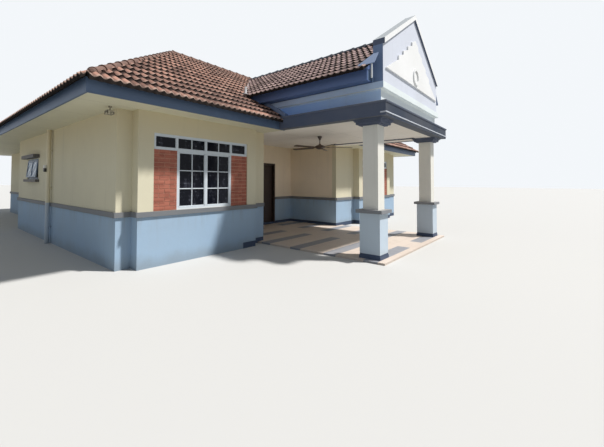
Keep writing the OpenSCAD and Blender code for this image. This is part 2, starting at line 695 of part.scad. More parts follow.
module downpipes() color(white) place() for (s = [0, 1]) {
    x = s == 0 ? -band_out - pipe_d / 2 : house_w + band_out + pipe_d / 2;
    translate([x, pipe_y, 0]) cylinder(d = pipe_d, h = soffit_z, $fn = 32);
}
box_face = -band_out - pipe_d - box_gap;  // face of the box that lies against the pipe
module fittings() color("#d8dadb") place() {
    block([box_face - box_d, pipe_y - box_w / 2, box_z],
          [box_face, pipe_y + box_w / 2, box_z + box_h]);
    translate([-140, lamp_y, soffit_z - 120]) {
        translate([0, 0, 100]) cylinder(d = 60, h = 20, $fn = 24);
        translate([0, 0, 30]) cylinder(d = 20, h = 80, $fn = 24);
        translate([-70, -60, -20]) cube([120, 120, 60]);
    }
}

floor_slab();
porch_floor();
wall_front_left();
wall_left();
wall_left_rear();
wall_rear();
wall_right();
wall_front_right();
wall_hall_side();
wall_wing_inner();
wall_entry_left();
wall_entry_right();
wall_entry_over();
band_left();
band_right();
band_entry();
brick_panels();
front_frames();
front_glass();
small_windows();
small_glass();
window_hoods();
door_frame();
door_leaf();
pedestals();
shafts();
column_rings();
capitals();
porch_beam();
porch_ceiling();
porch_frieze();
porch_cornice();
gable_wall();
raking_cornice();
pediment_relief();
porch_fascia();
porch_roof();
main_roof();
fascia();
soffit();
flashings();
fan_mount();
fan_rotor();
downpipes();
fittings();
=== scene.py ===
# %% [markdown]
# # A bungalow with a gabled car porch
#
# The solids of the house come from CAD and stay where they are: walls, roofs, columns and door. This lesson
# dresses them. It lays roll tiles on the slopes, bricks in the window panels and bars in the sashes, closes
# the ends of the porch eaves, turns a fan in place of its plain solids, and gives every surface a finish
# made of nodes. All sizes are metres. The front faces -Y.

# %% Load the solids
import math

import bmesh
import bpy
from mathutils import Matrix, Vector


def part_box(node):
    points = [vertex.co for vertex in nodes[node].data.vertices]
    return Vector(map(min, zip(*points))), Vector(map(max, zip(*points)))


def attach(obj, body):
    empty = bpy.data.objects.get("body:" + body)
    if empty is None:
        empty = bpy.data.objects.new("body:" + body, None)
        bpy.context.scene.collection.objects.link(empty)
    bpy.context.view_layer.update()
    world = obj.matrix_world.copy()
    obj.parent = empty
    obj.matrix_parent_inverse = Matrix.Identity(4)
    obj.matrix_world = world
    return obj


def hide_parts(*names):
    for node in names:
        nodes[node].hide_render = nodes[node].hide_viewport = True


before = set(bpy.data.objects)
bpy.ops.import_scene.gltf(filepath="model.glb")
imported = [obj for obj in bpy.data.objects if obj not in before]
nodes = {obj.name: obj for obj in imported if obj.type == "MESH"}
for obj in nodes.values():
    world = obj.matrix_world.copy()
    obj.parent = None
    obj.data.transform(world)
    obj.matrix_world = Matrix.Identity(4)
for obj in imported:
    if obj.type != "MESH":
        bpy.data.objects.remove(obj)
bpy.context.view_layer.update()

scene = bpy.context.scene
print("solids:", len(nodes))

# %% [markdown]
# ## The driving sizes
#
# A roof is easiest to dress from a few numbers: where its eaves run, how steep it is and where its ridges
# meet. They are read off the solids' boxes, so the tiles follow if the solids change.

# %% Places read from the solids
roof_low, roof_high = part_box("main_roof")
EAVE_Z = roof_low.z
RIDGE_Z = roof_high.z
RUN = (roof_high.x - roof_low.x) / 4
PITCH = (RIDGE_Z - EAVE_Z) / RUN
LEFT, RIGHT = roof_low.x, roof_high.x
FRONT, REAR = roof_low.y, roof_high.y
MIDDLE = (LEFT + RIGHT) / 2

porch_low, porch_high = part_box("porch_roof")
PORCH_X = (porch_low.x + porch_high.x) / 2
PORCH_HALF = (porch_high.x - porch_low.x) / 2
PORCH_EAVE_Z = porch_low.z
PORCH_PITCH = (porch_high.z - PORCH_EAVE_Z) / PORCH_HALF
PORCH_FRONT = porch_low.y

inner_low, inner_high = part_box("wall_wing_inner")
band_low, band_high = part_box("band_left")
gable_low, gable_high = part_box("gable_wall")
WALL_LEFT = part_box("wall_front_left")[0].x
WING_FRONT = inner_low.y - (inner_high.x - inner_low.x)
BAND_FOOT, BAND_TOP = band_low.z, band_high.z
GABLE_FRONT, GABLE_BACK = gable_low.y, gable_high.y
CORNICE_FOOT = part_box("porch_cornice")[0].z
print("pitch", round(PITCH, 3), "porch pitch", round(PORCH_PITCH, 3), "eaves", round(EAVE_Z, 3))

# %% [markdown]
# ## Making and keeping a piece
#
# Every piece starts as a bmesh. One helper turns it into an object at the origin, gives it its finish, and
# lets it ride on the body that carries it. A second one adds a box with worn edges, because no real board
# has a razor edge.

# %% Helpers for pieces
SHARP = 0.7
TOUCHING = 1e-5
UP = (0, 0, 1)


def keep(bm, name, finish, body="house", smooth=False):
    """Turns a bmesh into a finished object that rides on a body. A smooth one keeps its sharp edges."""
    if smooth:
        for face in bm.faces:
            face.smooth = True
        for edge in bm.edges:
            edge.smooth = edge.calc_face_angle(0.0) < SHARP
    mesh = bpy.data.meshes.new(name)
    bm.to_mesh(mesh)
    bm.free()
    mesh.materials.append(finish)
    piece = bpy.data.objects.new(name, mesh)
    scene.collection.objects.link(piece)
    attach(piece, body)
    return piece


def placed_box(bm, place, bevel=0.0):
    """Adds a unit cube moved and stretched by a matrix, its edges rounded by bevel."""
    made = bmesh.ops.create_cube(bm, size=1, matrix=place)["verts"]
    if bevel:
        edges = list({e for v in made for e in v.link_edges})
        bmesh.ops.bevel(bm, geom=edges, offset=bevel, segments=1, profile=0.5, affect="EDGES", material=-1)
    return made


def add_box(bm, low, high, bevel=0.0):
    """Adds a box between two corners."""
    low, high = Vector(low), Vector(high)
    return placed_box(bm, Matrix.Translation((low + high) / 2) @ Matrix.Diagonal((*(high - low), 1)), bevel)


def bar(bm, start, end, width, height, bevel=0.0):
    """Adds a bar from point to point, its width level and its height square to both."""
    start, end = Vector(start), Vector(end)
    along = (end - start).normalized()
    level = along.cross(Vector(UP)).normalized()
    turn = Matrix((along, level, level.cross(along))).transposed().to_4x4()
    size = Matrix.Diagonal(((end - start).length, width, height, 1))
    return placed_box(bm, Matrix.Translation((start + end) / 2) @ turn @ size, bevel)


def solids_of(name):
    """The boxes of a node's separate solids, each as its lowest and highest corner."""
    bm = bmesh.new()
    bm.from_mesh(nodes[name].data)
    bmesh.ops.remove_doubles(bm, verts=bm.verts, dist=TOUCHING)
    left, boxes = set(bm.verts), []
    while left:
        found = [left.pop()]
        for v in found:
            near = {e.other_vert(v) for e in v.link_edges} & left
            left -= near
            found.extend(near)
        places = [[v.co[axis] for v in found] for axis in range(3)]
        boxes.append((Vector([min(p) for p in places]), Vector([max(p) for p in places])))
    bm.free()
    return sorted(boxes, key=lambda box: tuple(box[0]))


def plate(bm, corners, drop):
    """A plate from the corners of its top and the vector down to its underside."""
    upper = [bm.verts.new(c) for c in corners]
    lower = [bm.verts.new(Vector(c) + drop) for c in corners]
    bm.faces.new(upper)
    bm.faces.new(lower[::-1])
    for i in range(len(corners)):
        j = (i + 1) % len(corners)
        bm.faces.new((upper[i], lower[i], lower[j], upper[j]))


def turned(bm, profile, centre, steps=32):
    """Spins a list of (radius, height) points round a vertical axis."""
    verts = [bm.verts.new(centre + Vector((r, 0, z))) for r, z in profile]
    edges = [bm.edges.new(pair) for pair in zip(verts, verts[1:])]
    bmesh.ops.spin(bm, geom=verts + edges, cent=centre, axis=UP, angle=2 * math.pi, steps=steps,
                   use_merge=True)
    bmesh.ops.remove_doubles(bm, verts=bm.verts, dist=TOUCHING)
    bmesh.ops.recalc_face_normals(bm, faces=bm.faces)


def carried_round(bm, low, high, back, profile):
    """A profile of (out, height) points carried round a box's left, front and right, with mitred corners."""
    corners = ((low.x, back, -1, 0), (low.x, low.y, -1, -1), (high.x, low.y, 1, -1), (high.x, back, 1, 0))
    rings = []
    for x, y, dx, dy in corners:
        rings.append([bm.verts.new((x + dx * out, y + dy * out, z)) for out, z in profile])
    for ring, after in zip(rings, rings[1:]):
        for i in range(len(profile)):
            j = (i + 1) % len(profile)
            bm.faces.new((ring[i], ring[j], after[j], after[i]))
    bm.faces.new(rings[0])
    bm.faces.new(rings[-1])
    bmesh.ops.recalc_face_normals(bm, faces=bm.faces)


print("helpers: boxes, bars, plates, turned and carried profiles")

# %% [markdown]
# ## Shader maths as Python
#
# A finish is arithmetic on numbers that change over the surface. Wiring each sum by hand hides it, so a
# small class wraps a socket and lets the operators add the Math nodes.

# %% The shader class
class Value:
    """One socket of a shader, which takes part in sums."""

    def __init__(self, finish, socket):
        self.finish = finish
        self.socket = socket

    def math(self, operation, *others):
        return self.finish.node("ShaderNodeMath", {"operation": operation}, self, *others)

    def __add__(self, other):
        return self.math("ADD", other)

    def __mul__(self, other):
        return self.math("MULTIPLY", other)

    def __sub__(self, other):
        return self.math("SUBTRACT", other)

    def __rsub__(self, other):
        return self.finish.node("ShaderNodeMath", {"operation": "SUBTRACT"}, other, self)

    def __truediv__(self, other):
        return self.math("DIVIDE", other)

    __radd__ = __add__
    __rmul__ = __mul__

    def step(self, start, end):
        """0 below start, 1 above end and smooth between; falling where start is above end."""
        kind = {"interpolation_type": "SMOOTHSTEP"}
        if start < end:
            return self.finish.node("ShaderNodeMapRange", kind, self, start, end, 0.0, 1.0)
        return self.finish.node("ShaderNodeMapRange", kind, self, end, start, 1.0, 0.0)


class Finish:
    """A material under construction."""

    def __init__(self, name):
        self.material = bpy.data.materials.new(name)
        self.material.use_nodes = True
        self.tree = self.material.node_tree
        self.tree.nodes.clear()
        self.shader = self.tree.nodes.new("ShaderNodeBsdfPrincipled")
        output = self.tree.nodes.new("ShaderNodeOutputMaterial")
        self.tree.links.new(self.shader.outputs[0], output.inputs[0])
        place = self.tree.nodes.new("ShaderNodeTexCoord")
        self.place = Value(self, place.outputs["Object"])
        self.x, self.y, self.z = self.split(self.place)

    def split(self, vector):
        """The three numbers of a vector."""
        parts = self.tree.nodes.new("ShaderNodeSeparateXYZ")
        self.tree.links.new(vector.socket, parts.inputs[0])
        return [Value(self, s) for s in parts.outputs]

    def feed(self, socket, value):
        if isinstance(value, Value):
            self.tree.links.new(value.socket, socket)
        else:
            socket.default_value = value

    def node(self, kind, settings, *values, out=0, **named):
        """Adds a node: its settings first, then its sockets in order or by name."""
        made = self.tree.nodes.new(kind)
        for key, setting in settings.items():
            setattr(made, key, setting)
        for socket, value in zip(made.inputs, values):
            self.feed(socket, value)
        for key, value in named.items():
            self.feed(made.inputs[key.replace("_", " ")], value)
        return Value(self, made.outputs[out])

    def noise(self, scale, detail=3.0, rough=0.55, where=None):
        """Soft noise from 0 to 1, with scale cells to a metre."""
        where = where or self.place
        return self.node("ShaderNodeTexNoise", {}, Vector=where, Scale=scale, Detail=detail, Roughness=rough)

    def stretched(self, x, y, z):
        """The place with each axis scaled, for grain and streaks."""
        return self.node("ShaderNodeVectorMath", {"operation": "MULTIPLY"}, self.place, (x, y, z))

    def mix(self, factor, low, high):
        """A colour between two."""
        made = self.tree.nodes.new("ShaderNodeMix")
        made.data_type = "RGBA"
        self.feed(made.inputs[0], factor)
        for socket, colour in zip((made.inputs[6], made.inputs[7]), (low, high)):
            self.feed(socket, colour if isinstance(colour, Value) else (*colour, 1.0))
        return Value(self, made.outputs[2])

    def facing(self, axis):
        """How far the surface faces along an axis, from -1 to 1."""
        normal = self.node("ShaderNodeNewGeometry", {}, out=1)
        return self.node("ShaderNodeVectorMath", {"operation": "DOT_PRODUCT"}, normal, axis, out=1)

    def bump(self, height, depth, strength=1.0):
        """Feeds a height in metres to the normal."""
        bump = self.tree.nodes.new("ShaderNodeBump")
        bump.inputs["Strength"].default_value = strength
        bump.inputs["Distance"].default_value = depth
        self.feed(bump.inputs["Height"], height)
        self.tree.links.new(bump.outputs[0], self.shader.inputs["Normal"])

    def done(self, colour, roughness=0.6, **fixed):
        """Sets the shader's sockets and gives the material."""
        self.feed(self.shader.inputs["Base Color"], colour if isinstance(colour, Value) else (*colour, 1.0))
        self.feed(self.shader.inputs["Roughness"], roughness)
        for key, value in fixed.items():
            self.shader.inputs[key.replace("_", " ")].default_value = value
        return self.material


print("shader classes: Value, Finish")

# %% [markdown]
# ## Painted plaster
#
# The walls are brick under a skim of plaster, painted cream above the band course and pale blue below it. A
# flat colour looks like card. Real paint is cloudy over metres, streaked under sills by rain, and dirty
# near the ground, so three noises at three scales tint it, and a fine bump gives the trowel marks.

# %% Plaster finishes
CREAM = (0.70, 0.66, 0.50)
BLUE = (0.34, 0.48, 0.64)
NAVY = (0.040, 0.062, 0.115)
SLATE = (0.074, 0.098, 0.160)
PALE_BLUE = (0.44, 0.62, 0.90)
HALL_CREAM_WITH_BOUNCE = (0.92, 0.80, 0.64)
STAIN = (0.24, 0.22, 0.19)
GROUND_DIRT = (0.16, 0.14, 0.10)
LEDGE_DUST_AND_SHADE = (0.27, 0.26, 0.24)
CLOUDS = (0.32, 0.30, 0.26)
EAVES_WARM_SHADE = (0.52, 0.40, 0.20)
CEILING = (0.92, 0.88, 0.81)
WHITE = (0.86, 0.87, 0.88)
PAINT_EDGE = 0.004
NO_GROUND = -9.0


def weathered(f, colour, dirt=0.35, foot=0.0):
    """Clouds, rain streaks, dust and painted shade on upward faces, and ground dirt over a paint."""
    clouds = f.noise(0.9, 4.0)
    # Upward faces are darkened: partly the dust that lies on ledges, partly painted shade that holds down
    # their glare in the sun.
    ledge_dust_and_shade = f.facing(UP).step(0.6, 0.9)
    colour = f.mix(ledge_dust_and_shade * 0.5, colour, LEDGE_DUST_AND_SHADE)
    streaks = f.noise(1.0, 3.0, 0.6, f.stretched(7.0, 7.0, 0.35))
    colour = f.mix((clouds - 0.35) * 0.35, colour, CLOUDS)
    colour = f.mix(streaks.step(0.52, 0.80) * (dirt * 0.32), colour, STAIN)
    splash = (f.z + (f.noise(3.0) - 0.5) * 0.25 - foot).step(0.30, 0.0)
    return f.mix(splash * dirt, colour, GROUND_DIRT)


def plaster_bump(f, strength=0.35):
    grain = f.noise(28.0, 4.0, 0.7) + f.noise(3.5, 2.0) * 2.0
    f.bump(grain, 0.004, strength)


def painted(name, paint, dirt=0.3, foot=0.0):
    f = Finish(name)
    colour = weathered(f, paint, dirt, foot)
    plaster_bump(f, 0.25)
    return f.done(colour, 0.62 + f.noise(5.0) * 0.15)


def below(height, edge):
    """1 below a painted edge and 0 above it."""
    return height.step(edge + PAINT_EDGE, edge - PAINT_EDGE)


def two_tone(name, upper, lower, edge):
    """Upper paint over lower paint, with a painted warm shade under the eaves and grime where rain leaves
    the band course.
    """
    f = Finish(name)
    # Painted shade: the upper paint turns warmer and darker towards the eaves, standing in for the warm
    # shade under them.
    warm_eave_shade = f.mix(f.z.step(1.6, 2.9) * 0.42, upper, EAVES_WARM_SHADE)
    colour = f.mix(below(f.z, edge), warm_eave_shade, lower)
    runs = f.noise(1.0, 3.0, 0.6, f.stretched(9.0, 9.0, 0.8)).step(0.45, 0.75)
    below_band = f.z.step(edge - 0.45, edge) * f.z.step(edge + 0.01, edge - 0.01)
    colour = f.mix(runs * below_band * 0.30, colour, STAIN)
    colour = weathered(f, colour)
    plaster_bump(f)
    return f, colour


wall_edge = (BAND_TOP + BAND_FOOT) / 2
f, wall_colour = two_tone("wall_plaster", CREAM, BLUE, wall_edge)
wall_finish = f.done(wall_colour, 0.72 + f.noise(6.0) * 0.15)
print("wall paint changes at", round(wall_edge, 3))

# %% [markdown]
# Round the porch and along the front of the right wing, a navy skirting is painted at the foot of the
# plaster. It is a mask over the same finish, made from the height above the ground, and on the left wing's
# front also from the place along x where it starts.

# %% Plaster with a painted skirting
SKIRTING_TOP = 0.135
SKIRTING_LEFT = WALL_LEFT + 2.85


def with_skirting(name, starts=None, upper=CREAM):
    f, colour = two_tone(name, upper, BLUE, wall_edge)
    foot = below(f.z, SKIRTING_TOP)
    if starts is not None:
        foot = foot * f.x.step(starts - 0.02, starts + 0.02)
    colour = f.mix(foot, colour, NAVY)
    return f.done(colour, 0.72 + f.noise(6.0) * 0.15)


# The porch walls take a warmer, brighter cream: painted light, the warm glow that the porch floor throws up
# on them.
porch_wall_finish = with_skirting("porch_wall_plaster", upper=HALL_CREAM_WITH_BOUNCE)
wing_wall_finish = with_skirting("wing_wall_plaster", SKIRTING_LEFT)
front_right_finish = with_skirting("front_right_plaster")
print("skirting up to", SKIRTING_TOP)

# %% [markdown]
# The small parts share one paint function. The pedestals also get the navy skirting at their foot. The beam
# is slate outside, darker in front, pale on top where dust lies, and its underside shows the ceiling's
# colour inside slate edges. The faces' directions and the places along x and y tell these apart, so one
# solid carries them all without being cut up.

# %% Paints of the columns, the beam and the gable
band_finish = painted("band_grey", (0.160, 0.172, 0.192))
ring_finish = painted("ring_grey", (0.210, 0.220, 0.240))
hood_finish = painted("hood_grey", (0.095, 0.090, 0.092))
cream_finish = painted("shaft_cream", (0.82, 0.81, 0.75), 0.22)
white_finish = painted("relief_white", WHITE, 0.08)
line_finish = painted("pale_line", (0.58, 0.62, 0.70), 0.10)

f = Finish("pedestal_blue")
pedestal_colour = weathered(f, (0.54, 0.64, 0.74), 0.22)
pedestal_colour = f.mix(below(f.z, SKIRTING_TOP), pedestal_colour, NAVY)
plaster_bump(f, 0.25)
pedestal_finish = f.done(pedestal_colour, 0.65)

beam_low, beam_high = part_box("porch_beam")
MOULDING_OUT = 0.21
SOFT_EDGE = 0.01
AHEAD = (0, -1, 0)
core_left = beam_low.x + MOULDING_OUT
core_right = beam_high.x - MOULDING_OUT
core_front = beam_low.y + MOULDING_OUT
f = Finish("beam_slate")
under = f.facing(UP).step(-0.5, -0.8)
core = (f.x.step(core_left, core_left + SOFT_EDGE) * f.x.step(core_right, core_right - SOFT_EDGE)
        * f.y.step(core_front, core_front + SOFT_EDGE))
beam_colour = f.mix(f.facing(AHEAD).step(0.5, 0.8), SLATE, (0.026, 0.038, 0.064))
beam_colour = f.mix(under, beam_colour, f.mix(core, (0.095, 0.110, 0.140), CEILING))
beam_colour = f.mix(f.facing(UP).step(0.5, 0.8), beam_colour, (0.56, 0.58, 0.60))
beam_colour = weathered(f, beam_colour, 0.15, NO_GROUND)
plaster_bump(f, 0.2)
beam_finish = f.done(beam_colour, 0.75, Specular_IOR_Level=0.25)
slate_finish = painted("capital_slate", SLATE, 0.12, NO_GROUND)
print("the beam's pale core starts at", round(core_left, 3))

# %% [markdown]
# The gable is painted by face. Its front is pale lavender above the foot of the cornice and pale grey-blue
# below it, and its narrow sides are slate blue above and pale blue below. The direction that a face looks in
# and its height pick the paint. Below the cornice, the whiter front and the bluer sides are sunlit and
# shaded copies of one paint: painted light. The cornices take theirs by direction too, the pale cornice with
# the same painted light and shade, and the frieze turns a deeper blue towards the house, a painted shade
# under the eaves.

# %% Paints picked by height and by direction
def sideways(f):
    return f.facing((1, 0, 0)).math("ABSOLUTE").step(0.5, 0.7)


f = Finish("cornice_pale")
# Painted light: the front of the cornice is a whiter sunlit copy of its paint, and its sides a bluer shaded
# copy.
pale_colour = weathered(f, f.mix(sideways(f), (0.78, 0.85, 0.87), (0.49, 0.64, 0.86)), 0.2, NO_GROUND)
plaster_bump(f, 0.25)
pale_finish = f.done(pale_colour, 0.65)

f = Finish("gable_paint")
# Painted light: below the cornice the front is a whiter sunlit copy and the sides a bluer shaded copy of one
# pale paint.
gable_foot = f.mix(sideways(f), (0.74, 0.81, 0.86), PALE_BLUE)
gable_colour = f.mix(f.z.step(CORNICE_FOOT, CORNICE_FOOT + SOFT_EDGE), gable_foot, (0.66, 0.70, 0.80))
gable_colour = weathered(f, gable_colour, 0.2, NO_GROUND)
gable_side = sideways(f) * f.z.step(CORNICE_FOOT, CORNICE_FOOT + SOFT_EDGE)
gable_colour = f.mix(gable_side, gable_colour, (0.155, 0.230, 0.395))
plaster_bump(f, 0.25)
gable_finish = f.done(gable_colour, 0.68)

f = Finish("raking_paint")
rake_under = f.facing(UP).step(-0.2, -0.5)
rake_colour = f.mix(rake_under, weathered(f, WHITE, 0.12, NO_GROUND), SLATE)
rake_top = f.facing(UP).step(0.3, 0.6)
rake_colour = f.mix(rake_top, rake_colour, (0.36, 0.39, 0.41))
rake_colour = f.mix(sideways(f), rake_colour, SLATE)
plaster_bump(f, 0.2)
rake_finish = f.done(rake_colour, 0.68)

f = Finish("frieze_paint")
# Painted shade: the frieze turns a deeper blue towards the house, under the eaves.
frieze_colour = f.mix(f.y.step(GABLE_FRONT - 0.2, WING_FRONT - 0.3), PALE_BLUE, (0.25, 0.46, 0.90))
frieze_finish = f.done(weathered(f, frieze_colour, 0.2, NO_GROUND), 0.66)
print("gable paints change at", round(CORNICE_FOOT, 3))

# %% [markdown]
# A solid from CAD keeps its shape and only changes its coat. Its material slots are cleared and get the new
# finish, so the walls, the columns and the gable take their paint here.

# %% Put the paints on the solids
def dress(finish, *names):
    for name in names:
        slots = nodes[name].data.materials
        slots.clear()
        slots.append(finish)


dress(wall_finish, "wall_left", "wall_left_rear", "wall_rear", "wall_right")
dress(wing_wall_finish, "wall_front_left")
dress(front_right_finish, "wall_front_right")
dress(porch_wall_finish, "wall_hall_side", "wall_wing_inner", "wall_entry_left", "wall_entry_right",
      "wall_entry_over")
dress(band_finish, "band_left", "band_right", "band_entry")
dress(ring_finish, "column_rings")
dress(hood_finish, "window_hoods")
dress(pedestal_finish, "pedestals")
dress(cream_finish, "shafts")
dress(slate_finish, "capitals")
dress(beam_finish, "porch_beam")
dress(frieze_finish, "porch_frieze")
dress(pale_finish, "porch_cornice")
dress(gable_finish, "gable_wall")
dress(rake_finish, "raking_cornice")
dress(white_finish, "pediment_relief")
print("walls, columns and gable painted")

# %% [markdown]
# ## Boards and floors
#
# The eaves are closed with painted sheets, laid edge to edge, so a joint runs across them every 1.2 m. The
# fascia is a painted board, and the floor of the house is cement.

# %% Board and floor finishes
SHEET = 1.2


def sheets(name, paint):
    """Sheets laid edge to edge: a thin dark joint along X and Y, cloudy paint and a few stains."""
    f = Finish(name)
    colour = weathered(f, paint, 0.12, NO_GROUND)
    for axis in (f.x, f.y):
        cell = (axis / SHEET).math("FRACT")
        joint = (cell - 0.5).math("ABSOLUTE").step(0.4955, 0.4985)
        colour = f.mix(joint * 0.55, colour, (0.10, 0.09, 0.07))
    plaster_bump(f, 0.12)
    return f.done(colour, 0.6)


def board(name, paint):
    """A painted board: grain that darkens the paint, and patches where the sun has bleached it."""
    f = Finish(name)
    grain = f.noise(1.0, 5.0, 0.6, f.stretched(2.0, 2.0, 40.0))
    worn = tuple(c * 0.55 for c in paint)
    bleached = tuple(min(1, c * 1.5 + 0.03) for c in paint)
    colour = f.mix(grain * 0.35, paint, worn)
    colour = f.mix(f.noise(1.3, 4.0).step(0.55, 0.8) * 0.35, colour, bleached)
    f.bump(grain, 0.002, 0.3)
    return f.done(colour, 0.5)


soffit_finish = sheets("soffit_sheets", (0.74, 0.71, 0.54))
ceiling_finish = sheets("ceiling_sheets", CEILING)
fascia_finish = board("fascia_slate", (0.078, 0.125, 0.215))
porch_fascia_finish = board("porch_fascia_navy", (0.095, 0.160, 0.350))
flashing_finish = board("flashing_blue", (0.065, 0.125, 0.270))

f = Finish("cement_floor")
floor_colour = f.mix(f.noise(2.0, 5.0), (0.46, 0.43, 0.38), (0.62, 0.59, 0.53))
floor_finish = f.done(floor_colour, 0.55 + f.noise(4.0) * 0.2)
print("sheets with a joint every", SHEET)

# %% [markdown]
# The porch floor is laid with square beige tiles, and long grey slabs lie in it in rows. Both are masks
# made from the place: the fraction of x and y over the tile size gives the joints, and a row of slabs
# repeats every 0.885 m.

# %% The porch floor
TILE = 0.300
SLAB_ROW = 0.885
SLAB_W = 0.28
SLAB_L = 2.55
SLAB_PITCH = 3.40
SLAB_X = WALL_LEFT + 2.90
SLAB_Y = WING_FRONT - 3.07


STRIPE_EDGE = 0.004


def stripe(place, start, period, width):
    """1 inside a stripe of a width that comes back every period."""
    cell = ((place - start) / period).math("FRACT")
    return cell.step(0.0, STRIPE_EDGE) * cell.step(width / period + STRIPE_EDGE, width / period)


f = Finish("porch_tiles")
slab = stripe(f.x, SLAB_X, SLAB_PITCH, SLAB_L) * stripe(f.y, SLAB_Y, SLAB_ROW, SLAB_W)
beige = f.mix(f.noise(1.4, 4.0), (0.54, 0.45, 0.385), (0.64, 0.56, 0.49))
porch_colour = f.mix(slab, beige, f.mix(f.noise(3.0, 4.0), (0.20, 0.21, 0.24), (0.28, 0.29, 0.32)))
for axis in (f.x, f.y):
    joint = ((axis / TILE).math("FRACT") - 0.5).math("ABSOLUTE").step(0.482, 0.494)
    porch_colour = f.mix(joint * 0.45, porch_colour, (0.30, 0.27, 0.24))
porch_colour = f.mix(f.noise(0.8, 5.0, 0.7).step(0.55, 0.8) * 0.35, porch_colour, (0.33, 0.29, 0.24))
porch_floor_finish = f.done(porch_colour, 0.45 + f.noise(5.0) * 0.2)

dress(soffit_finish, "soffit")
dress(ceiling_finish, "porch_ceiling")
dress(fascia_finish, "fascia")
dress(porch_fascia_finish, "porch_fascia")
dress(flashing_finish, "flashings")
dress(floor_finish, "floor_slab")
dress(porch_floor_finish, "porch_floor")
print("porch tiles of", TILE, "with a row of slabs every", SLAB_ROW)

# %% [markdown]
# ## Roll tiles
#
# The roof is laid with clay-coloured tiles that carry two rolls each. Thousands of separate tiles would cost
# millions of faces. One sheet for each slope does it: a grid whose points are lifted into rolls across the
# slope, and into a small step at the foot of every course. The grid is cut along hips and valleys by planes,
# its rim is drawn down to the boards, and the bottom is closed, so the sheet is a solid. The part of the rim
# that drops to the boards, and the bottom, are near black: a painted shade for the hollows under the tiles.

# %% The tile finish
ROLL = 0.144
GAUGE = 0.320
ROLL_HEIGHT = 0.038
COURSE_STEP = 0.036
TILE_THICK = 0.014


def tile_material(name, low, high, age, pan_shade, shadow):
    """The UV map holds rolls and courses, so floor() finds the tile and fract() the place on it."""
    f = Finish(name)
    laid = f.node("ShaderNodeUVMap", {"uv_map": "laid"})
    roll, course = f.split(laid)[:2]
    halved = f.node("ShaderNodeVectorMath", {"operation": "MULTIPLY"}, laid, (0.5, 1.0, 1.0))
    tile = f.node("ShaderNodeVectorMath", {"operation": "FLOOR"}, halved)
    own = f.node("ShaderNodeTexWhiteNoise", {"noise_dimensions": "2D"}, Vector=tile)
    place = course.math("FRACT")
    pan = (roll * (2 * math.pi)).math("COSINE").step(0.35, -0.75)
    grain = f.noise(14.0, 5.0, 0.7)
    colour = f.mix(own, low, high)
    colour = f.mix(f.noise(0.55, 4.0).step(0.40, 0.68) * age, colour, (0.120, 0.080, 0.070))
    lichen = f.noise(5.0, 6.0, 0.75).step(0.58, 0.72)
    colour = f.mix(lichen * 0.40, colour, (0.34, 0.29, 0.25))
    # Painted highlight and wear: the nose of each tile is lighter.
    colour = f.mix(place.step(0.16, 0.02) * (0.35 + own * 0.45), colour, (0.56, 0.42, 0.35))
    # Painted shade, with some dirt: the pans between the rolls are darkened.
    colour = f.mix(pan * pan_shade, colour, (0.032, 0.024, 0.022))
    # Painted shadow: the upper end of each course, under the nose of the next, is near black.
    colour = f.mix(place.step(shadow, 0.84) * 0.93, colour, (0.014, 0.010, 0.010))
    colour = f.mix(grain.step(0.55, 0.80) * 0.45, colour, (0.060, 0.050, 0.045))
    f.bump(grain + f.noise(60.0, 3.0) * 0.5, 0.004, 0.5)
    return f.done(colour, 0.85, Specular_IOR_Level=0.2)


tile_finish = tile_material("roll_tiles", (0.200, 0.110, 0.086), (0.520, 0.290, 0.220), 0.45, 0.66, 0.48)
# The porch slopes get a darker, greyer copy of the tiles, with more painted shade in the pans and laps:
# painted shade on the porch slopes.
porch_shaded_tile_finish = tile_material("porch_roll_tiles_in_painted_shade", (0.140, 0.096, 0.096), (0.380, 0.265, 0.260),
                                  0.40, 0.78, 0.30)
# Painted shade: the hollows under the tiles, the roof solid below them and the sheets' lower rims are near
# black.
f = Finish("painted_shade_under_the_tiles")
hollow_shade_colour = f.mix(f.noise(9.0), (0.010, 0.009, 0.009), (0.030, 0.024, 0.022))
hollow_shade_finish = f.done(hollow_shade_colour, 0.95, Specular_IOR_Level=0.05)


def cap_material(name, low, high):
    f = Finish(name)
    colour = f.mix(f.noise(5.0, 5.0, 0.7), low, high)
    f.bump(f.noise(20.0, 4.0), 0.004, 0.5)
    return f.done(colour, 0.85)


cap_finish = cap_material("ridge_caps", (0.038, 0.030, 0.028), (0.250, 0.135, 0.100))
porch_cap_finish = cap_material("porch_ridge_caps", (0.035, 0.042, 0.058), (0.080, 0.090, 0.115))
dress(hollow_shade_finish, "main_roof")
dress(porch_fascia_finish, "porch_roof")
print("tile cover", ROLL, "by", GAUGE)

# %% [markdown]
# A real slope is laid from the eave up, each course lapping the one below. Here the grid's own columns and
# rows do it: six columns to a roll, and two rows to a course, a high one at its foot and a low one at its
# head. Each point first gets its place counted in rolls and courses, and a second loop carries that to the
# roof.

# %% One slope of tiles
ROLL_STEPS = 6
ROLL_SHAPE = 1.3
OVERHANG = 0.09
COURSE_END = 0.97
TILE_LIFT = 0.008
ON_BOARDS = 0.004
SKIRT_V = 0.02


W, E, N, S = Vector((-1, 0, 0)), Vector((1, 0, 0)), Vector((0, 1, 0)), Vector((0, -1, 0))


def sliced(bm, point, normal, clear=False):
    """Cuts the mesh by a plane, and clears the side that the normal points to where that is asked."""
    geometry = bm.verts[:] + bm.edges[:] + bm.faces[:]
    bmesh.ops.bisect_plane(bm, geom=geometry, plane_co=point, plane_no=normal, clear_outer=clear)


def cut_hole(bm, left, right, back):
    """Takes out the faces between two places along x and in front of a place along y."""
    for point, normal in (((left, 0, 0), E), ((right, 0, 0), E), ((0, back, 0), N)):
        sliced(bm, point, normal)
    middles = [(face, face.calc_center_median()) for face in bm.faces]
    inside = [face for face, middle in middles if left < middle.x < right and middle.y < back]
    bmesh.ops.delete(bm, geom=inside, context="FACES")


